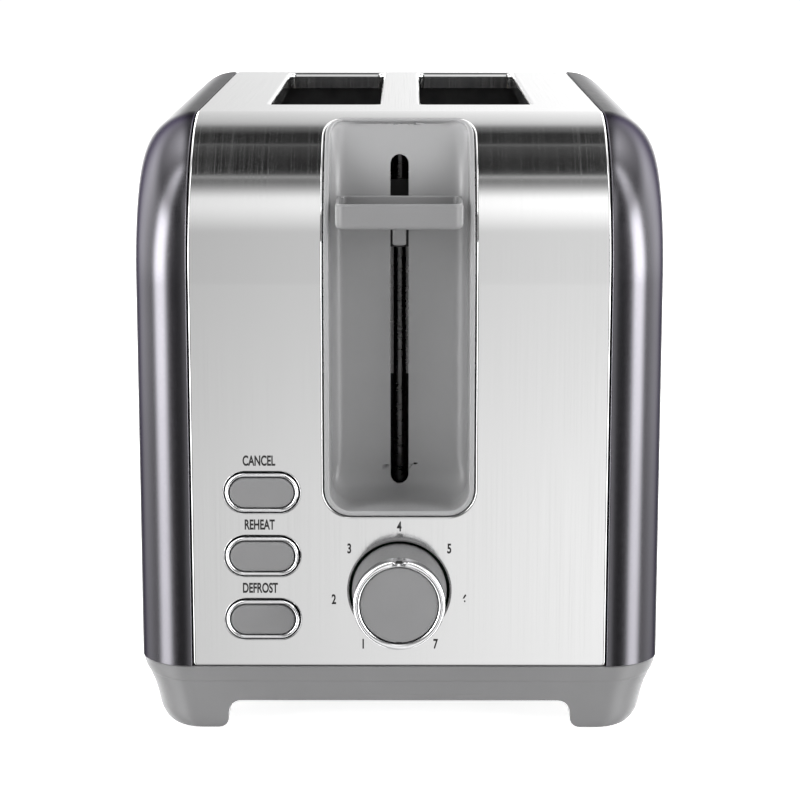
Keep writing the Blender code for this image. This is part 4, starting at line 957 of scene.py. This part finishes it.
def make_button(name):
    """A button with a softly domed face on a stem, and the plated ring round it."""
    node, ring_node = name + "_button", name + "_ring"
    low, high = BOX[node]
    middle = centre_of(node)
    domed = ((.0, 3.6), (.0, .75), (.08, .4), (.3, .14), (.65, .03), (1.1, 0.0), (1.9, .05),
             (3.0, .10))
    shape = bmesh.new()
    join_rings(shape, button_rings(ring_node, 3.0 * MM, domed, low.y), True, True, True)
    weld(shape)
    sweep(shape, [(middle.x, low.y + 3.5 * MM, middle.z), (middle.x, high.y, middle.z)],
          2.5 * MM, False, 24)
    from_shape(name + "_cap", shape, node, node, sharp=30)
    round_over = ((0.0, 5.5), (0.0, .7), (.05, .42), (.18, .2), (.38, .06), (.6, 0.0), (.82, .06),
                  (1.02, .2), (1.15, .42), (1.2, .7), (1.2, 5.5))
    rings = button_rings(ring_node, 0.0, round_over, BOX[ring_node][0].y)
    shape = bmesh.new()
    join_rings(shape, rings + rings[:1])
    weld(shape)
    from_shape(name + "_trim", shape, ring_node, ring_node, sharp=30)


def make_dial():
    """The dial: a tapered grip with a pointer notch, a bright ring, and a face set in it."""
    low, high = BOX["dial_ring"]
    middle = centre_of("dial_ring")
    middle.y = FRONT
    toward = Vector((0, -1, 0))
    ring_back, ring_front = FRONT - high.y, FRONT - low.y
    radius = (high.x - low.x) / 2
    grip = BOX["dial_knob"][1].x - middle.x
    inner = radius - 1.9 * MM
    # each profile is (radius, distance in front of the panel)
    profile = [(AXIS, ring_front - 3 * MM), (inner - .3 * MM, ring_front - 3 * MM),
               (inner - .3 * MM, ring_back - .3 * MM), (radius - .9 * MM, ring_back - .3 * MM),
               (radius - .15 * MM, ring_back - .9 * MM), (grip, 1.2 * MM), (grip, -2.5 * MM),
               (grip - 2 * MM, -2.5 * MM), (grip - 2 * MM, ring_back - 4 * MM),
               (5.3 * MM, ring_back - 4 * MM), (5.3 * MM, 0), (3.3 * MM, 0),
               (3.3 * MM, ring_back - 2.3 * MM), (AXIS, ring_back - 2.3 * MM)]
    shape = lathe(rounded_profile(profile, 0.7 * MM), middle, toward)
    from_shape("dial_grip", shape, "dial_knob", "dial_knob", sharp=40)
    profile = [(inner, ring_back), (radius, ring_back), (radius, ring_front - .9 * MM),
               (radius - .12 * MM, ring_front - .5 * MM), (radius - .45 * MM, ring_front - .12 * MM),
               (radius - .8 * MM, ring_front), (inner + .35 * MM, ring_front - .05 * MM),
               (inner + .08 * MM, ring_front - .25 * MM), (inner, ring_front - .6 * MM),
               (inner, ring_back)]
    ring = lathe(profile, middle, toward)
    notch, notch_radius, notch_height = radians(4), radius - 0.9 * MM, ring_front - 1.2 * MM
    for vert in ring.verts:
        offset = vert.co - middle
        turn = abs(atan(offset.x / offset.z)) if offset.z > 0 else pi
        if turn < notch and offset.xz.length > notch_radius and -offset.y > notch_height:
            scale = notch_radius / offset.xz.length
            vert.co.x = middle.x + offset.x * scale
            vert.co.z = middle.z + offset.z * scale
            vert.co.y += 0.5 * MM
    from_shape("dial_trim", ring, "dial_ring", "dial_ring", sharp=40)
    cap_front = FRONT - BOX["dial_cap"][0].y
    face = inner - .3 * MM
    profile = [(AXIS, cap_front - .15 * MM), (face * .5, cap_front - .1 * MM),
               (face - 1.2 * MM, cap_front), (face - .35 * MM, cap_front - .05 * MM),
               (face - .05 * MM, cap_front - .35 * MM), (face, cap_front - 2 * MM),
               (AXIS, cap_front - 2 * MM)]
    shape = lathe(rounded_profile(profile, 0.1 * MM, 2), middle, toward)
    from_shape("dial_face", shape, "dial_cap", "dial_cap", sharp=40)
    for name, centre_z, size, depth in (
            ("dial_pointer", middle.z + radius - .5 * MM, (1.1, .45), ring_front - .75 * MM),
            ("dial_mark", middle.z - face + .15 * MM, (.9, .22), cap_front)):
        mark = bmesh.new()
        outline = obround_points((middle.x, centre_z), 2 * size[0] * MM, 2 * size[1] * MM, 8)
        rings = [stood(outline, FRONT - depth + back * MM) for back in (.3, -.03)]
        join_rings(mark, rings, True, True, True)
        piece = from_shape(name, mark, "dial_knob")
        piece.data.materials[0] = finish_of("print")


def make_words():
    """Plain words over the buttons and numbers round the dial, printed on the panel."""
    word_size, word_narrow, word_rise, word_shift = 4.45 * MM, 0.60, 8.75 * MM, -0.8 * MM
    number_size, number_narrow, number_drop = 4.35 * MM, 0.66, 1.5 * MM
    number_radius, number_step = 21.0 * MM, 48.9
    rows = []
    for name in BUTTONS:
        middle = centre_of(name + "_button")
        rows.append((name.upper(), middle.x + word_shift, middle.z + word_rise, word_size,
                     word_narrow))
    middle = centre_of("dial_knob")
    for number in range(1, 8):
        turn = radians(number_step * (number - 4))
        rows.append((str(number), number_radius * sin(turn),
                     middle.z + number_radius * cos(turn) - number_drop, number_size,
                     number_narrow))
    for words, x, z, size, narrow in rows:
        text = bpy.data.curves.new("label_" + words.lower(), "FONT")
        text.body = words
        text.align_x = "CENTER"
        text.size = size
        text.offset = 0.14 * MM
        text.extrude = 0.01 * MM
        holder = link(text.name, text)
        bpy.context.view_layer.update()
        mesh = bpy.data.meshes.new_from_object(
            holder.evaluated_get(bpy.context.evaluated_depsgraph_get()))
        bpy.data.objects.remove(holder, do_unlink=True)
        mesh.transform(Matrix.Translation((x, FRONT - 0.012 * MM, z))
                       @ Matrix.Rotation(pi / 2, 4, "X") @ Matrix.Diagonal((narrow, 1, 1, 1)))
        piece = settle("label_" + words.lower(), mesh, "body_wrap")
        piece.data.materials[0] = finish_of("print")


# ---------------------------------------------------------------- inside


def make_guards():
    """The bread guards: upright wires between two rails, of round wire."""
    for side in ("left", "right"):
        for place in ("outer", "inner"):
            node = f"{side}_{place}_guard"
            low, high = BOX[node]
            radius = (high.x - low.x) / 2
            x = (low.x + high.x) / 2
            front, rear = low.y + radius, high.y - radius
            shape = bmesh.new()
            frame_path = [Vector((x, point.x, point.y)) for point, off in
                          edge_points((front, low.z + radius), (rear, high.z - radius), 3 * MM, 6)]
            sweep(shape, frame_path, radius, True, 10)
            for index in range(1, 8):
                y = front + (rear - front) * index / 8
                sweep(shape, [(x, y, low.z + radius), (x, y, high.z - radius)], radius * .8, False, 8)
            from_shape(node + "_wires", shape, node, node, sharp=60)


def make_heaters():
    """Flat heating ribbons wound over each mica board."""
    ribbons, lean, half_ribbon, half_thick = 11, 3 * MM, 0.6 * MM, 0.06 * MM
    edge, margin, clear = 3 * MM, 12 * MM, 0.12 * MM
    for node, facing in (("left_heater", 1), ("centre_left_heater", -1),
                         ("centre_right_heater", 1), ("right_heater", -1)):
        low, high = BOX[node]
        x = (high.x if facing > 0 else low.x) + facing * clear
        front, rear = low.y + edge, high.y - edge
        shape = bmesh.new()
        for index in range(ribbons):
            z = low.z + margin + (high.z - low.z - 2 * margin) * index / (ribbons - 1)
            outline = ((front, z - half_ribbon), (rear, z + lean - half_ribbon),
                       (rear, z + lean + half_ribbon), (front, z + half_ribbon))
            rings = [[Vector((x + back, y, up)) for y, up in outline]
                     for back in (-half_thick, half_thick)]
            join_rings(shape, rings, True, True, True)
        piece = from_shape(node + "_ribbon", shape, node)
        piece.data.materials[0] = finish_of("heater_ribbon")


def make_spring():
    """The return spring as a fine round-wire coil."""
    low, high = BOX["return_spring"]
    middle = centre_of("return_spring")
    wire_radius, turns, per_turn = 0.45 * MM, 11, 20
    coil_radius = high.x - middle.x - wire_radius
    count = turns * per_turn
    start, end = low.z + wire_radius, high.z - wire_radius
    path = [(middle.x + coil_radius * cos(2 * pi * index / per_turn),
             middle.y + coil_radius * sin(2 * pi * index / per_turn),
             start + (end - start) * index / count) for index in range(count + 1)]
    shape = bmesh.new()
    sweep(shape, path, wire_radius)
    from_shape("spring_coil", shape, "return_spring", "return_spring", sharp=60)


def make_gland():
    """The cord's bush in the rear panel, with a stepped, rounded flange."""
    low, high = BOX["cord_gland"]
    middle = centre_of("cord_gland")
    middle.y = REAR
    proud = high.y - REAR
    inside = low.y - REAR
    profile = [(3.4 * MM, inside), (5.2 * MM, inside), (5.2 * MM, .3 * MM), (8 * MM, .3 * MM),
               (8 * MM, 2.2 * MM), (7.2 * MM, 2.9 * MM), (5.9 * MM, 3.4 * MM),
               (5.2 * MM, proud), (3.4 * MM, proud), (3.4 * MM, inside)]
    shape = lathe(rounded_profile(profile, 0.5 * MM), middle, Vector((0, 1, 0)), 64)
    from_shape("gland_bush", shape, "cord_gland", "cord_gland", sharp=40)


def turned_solid(node, profile, steps):
    """An upright solid of (radius, rise) pairs in millimetres, from the foot of a node's box."""
    return solid(node, [laid(circle_points(centre_of(node), radius * MM, steps),
                             BOX[node][0].z + rise * MM) for radius, rise in profile])


def make_feet_and_screws():
    """Rubber pads with rounded edges, and screws with domed, cross-recessed heads."""
    for along in ("front", "rear"):
        for side in ("left", "right"):
            node = f"{along}_{side}_pad"
            low, high = BOX[node]
            middle = centre_of(node)
            middle.z = 0.0
            radius = high.x - middle.x
            profile = [(AXIS, 0.2 * MM), (radius * .55, .2 * MM), (radius * .65, 0),
                       (radius, 0), (radius, high.z), (AXIS, high.z)]
            shape = lathe(rounded_profile(profile, 0.3 * MM), middle, Vector((0, 0, 1)), 48)
            from_shape(node + "_disc", shape, node, node, sharp=40)
            node = f"{along}_{side}_screw"
            head = ((2.2, 0), (2.9, .15), (3.35, .5), (3.5, .95), (3.5, 1.8))
            threads = [(1.3, 1.5)] + [(1.6 if step % 2 else 1.25, 2 + .3 * step)
                                      for step in range(15)]
            screw, shank = [turned_solid(node, profile, steps)
                            for profile, steps in ((head, 40), (threads, 24))]
            combine(screw, shank, "UNION")
            low, middle = BOX[node][0], centre_of(node)
            for wide, deep in ((1.9, .32), (.32, 1.9)):
                combine(screw, block("recess", (middle.x - wide * MM, middle.y - deep * MM,
                                                low.z - 1 * MM),
                                     (middle.x + wide * MM, middle.y + deep * MM,
                                      low.z + 1.1 * MM), .1 * MM, 2), "DIFFERENCE")
            settle_solid(screw, node + "_head", node, 35)


def make_tray():
    """The crumb tray: a thin pan with a rolled edge, and its rounded pull with a finger groove."""
    low, high = BOX["crumb_tray"]
    profile = ((3.0, 0.0), (1.2, .08), (.45, .4), (.12, 1.0), (.1, 4.2), (0, 4.7), (.12, 5.0),
               (.5, 5.0), (.62, 4.7), (.6, 1.2), (.95, .75), (1.5, .6), (3.0, .5))
    rings = []
    for inset, rise in profile:
        outline = inset_box(low, high, inset * MM, max(3 - inset, .6) * MM, 8)
        rings.append(laid(outline, low.z + rise * MM))
    shape = bmesh.new()
    join_rings(shape, rings, True, True, True)
    from_shape("crumb_pan", shape, "crumb_tray", "crumb_tray", sharp=40)
    low, high = BOX["crumb_tray_pull"]
    rings = []
    for inset, back in ((0, 0), (0, 3.8), (.12, 4.4), (.5, 4.85), (1.1, 5.0), (2.2, 5.0), (2.6, 4.8),
                        (2.9, 4.2), (3.2, 3.9)):
        outline = inset_box(low.xz, high.xz, inset * MM, max(3 - inset, .9) * MM, 8)
        rings.append(stood(outline, low.y + back * MM))
    shape = bmesh.new()
    join_rings(shape, rings, True, True, True)
    from_shape("tray_handle", shape, "crumb_tray_pull", "crumb_tray_pull", sharp=40)


make_world()
make_floor()
make_camera()
make_sheet()
make_cheek("left_cheek", -1)
make_cheek("right_cheek", 1)
make_bezel()
make_base()
make_knob()
for button in BUTTONS:
    make_button(button)
make_dial()
make_words()
make_guards()
make_heaters()
make_spring()
make_gland()
make_feet_and_screws()
make_tray()
for node, piece in frame["nodes"].items():
    piece.data.materials.clear()
    piece.data.materials.append(finish_of(SLOT_OF[node]))
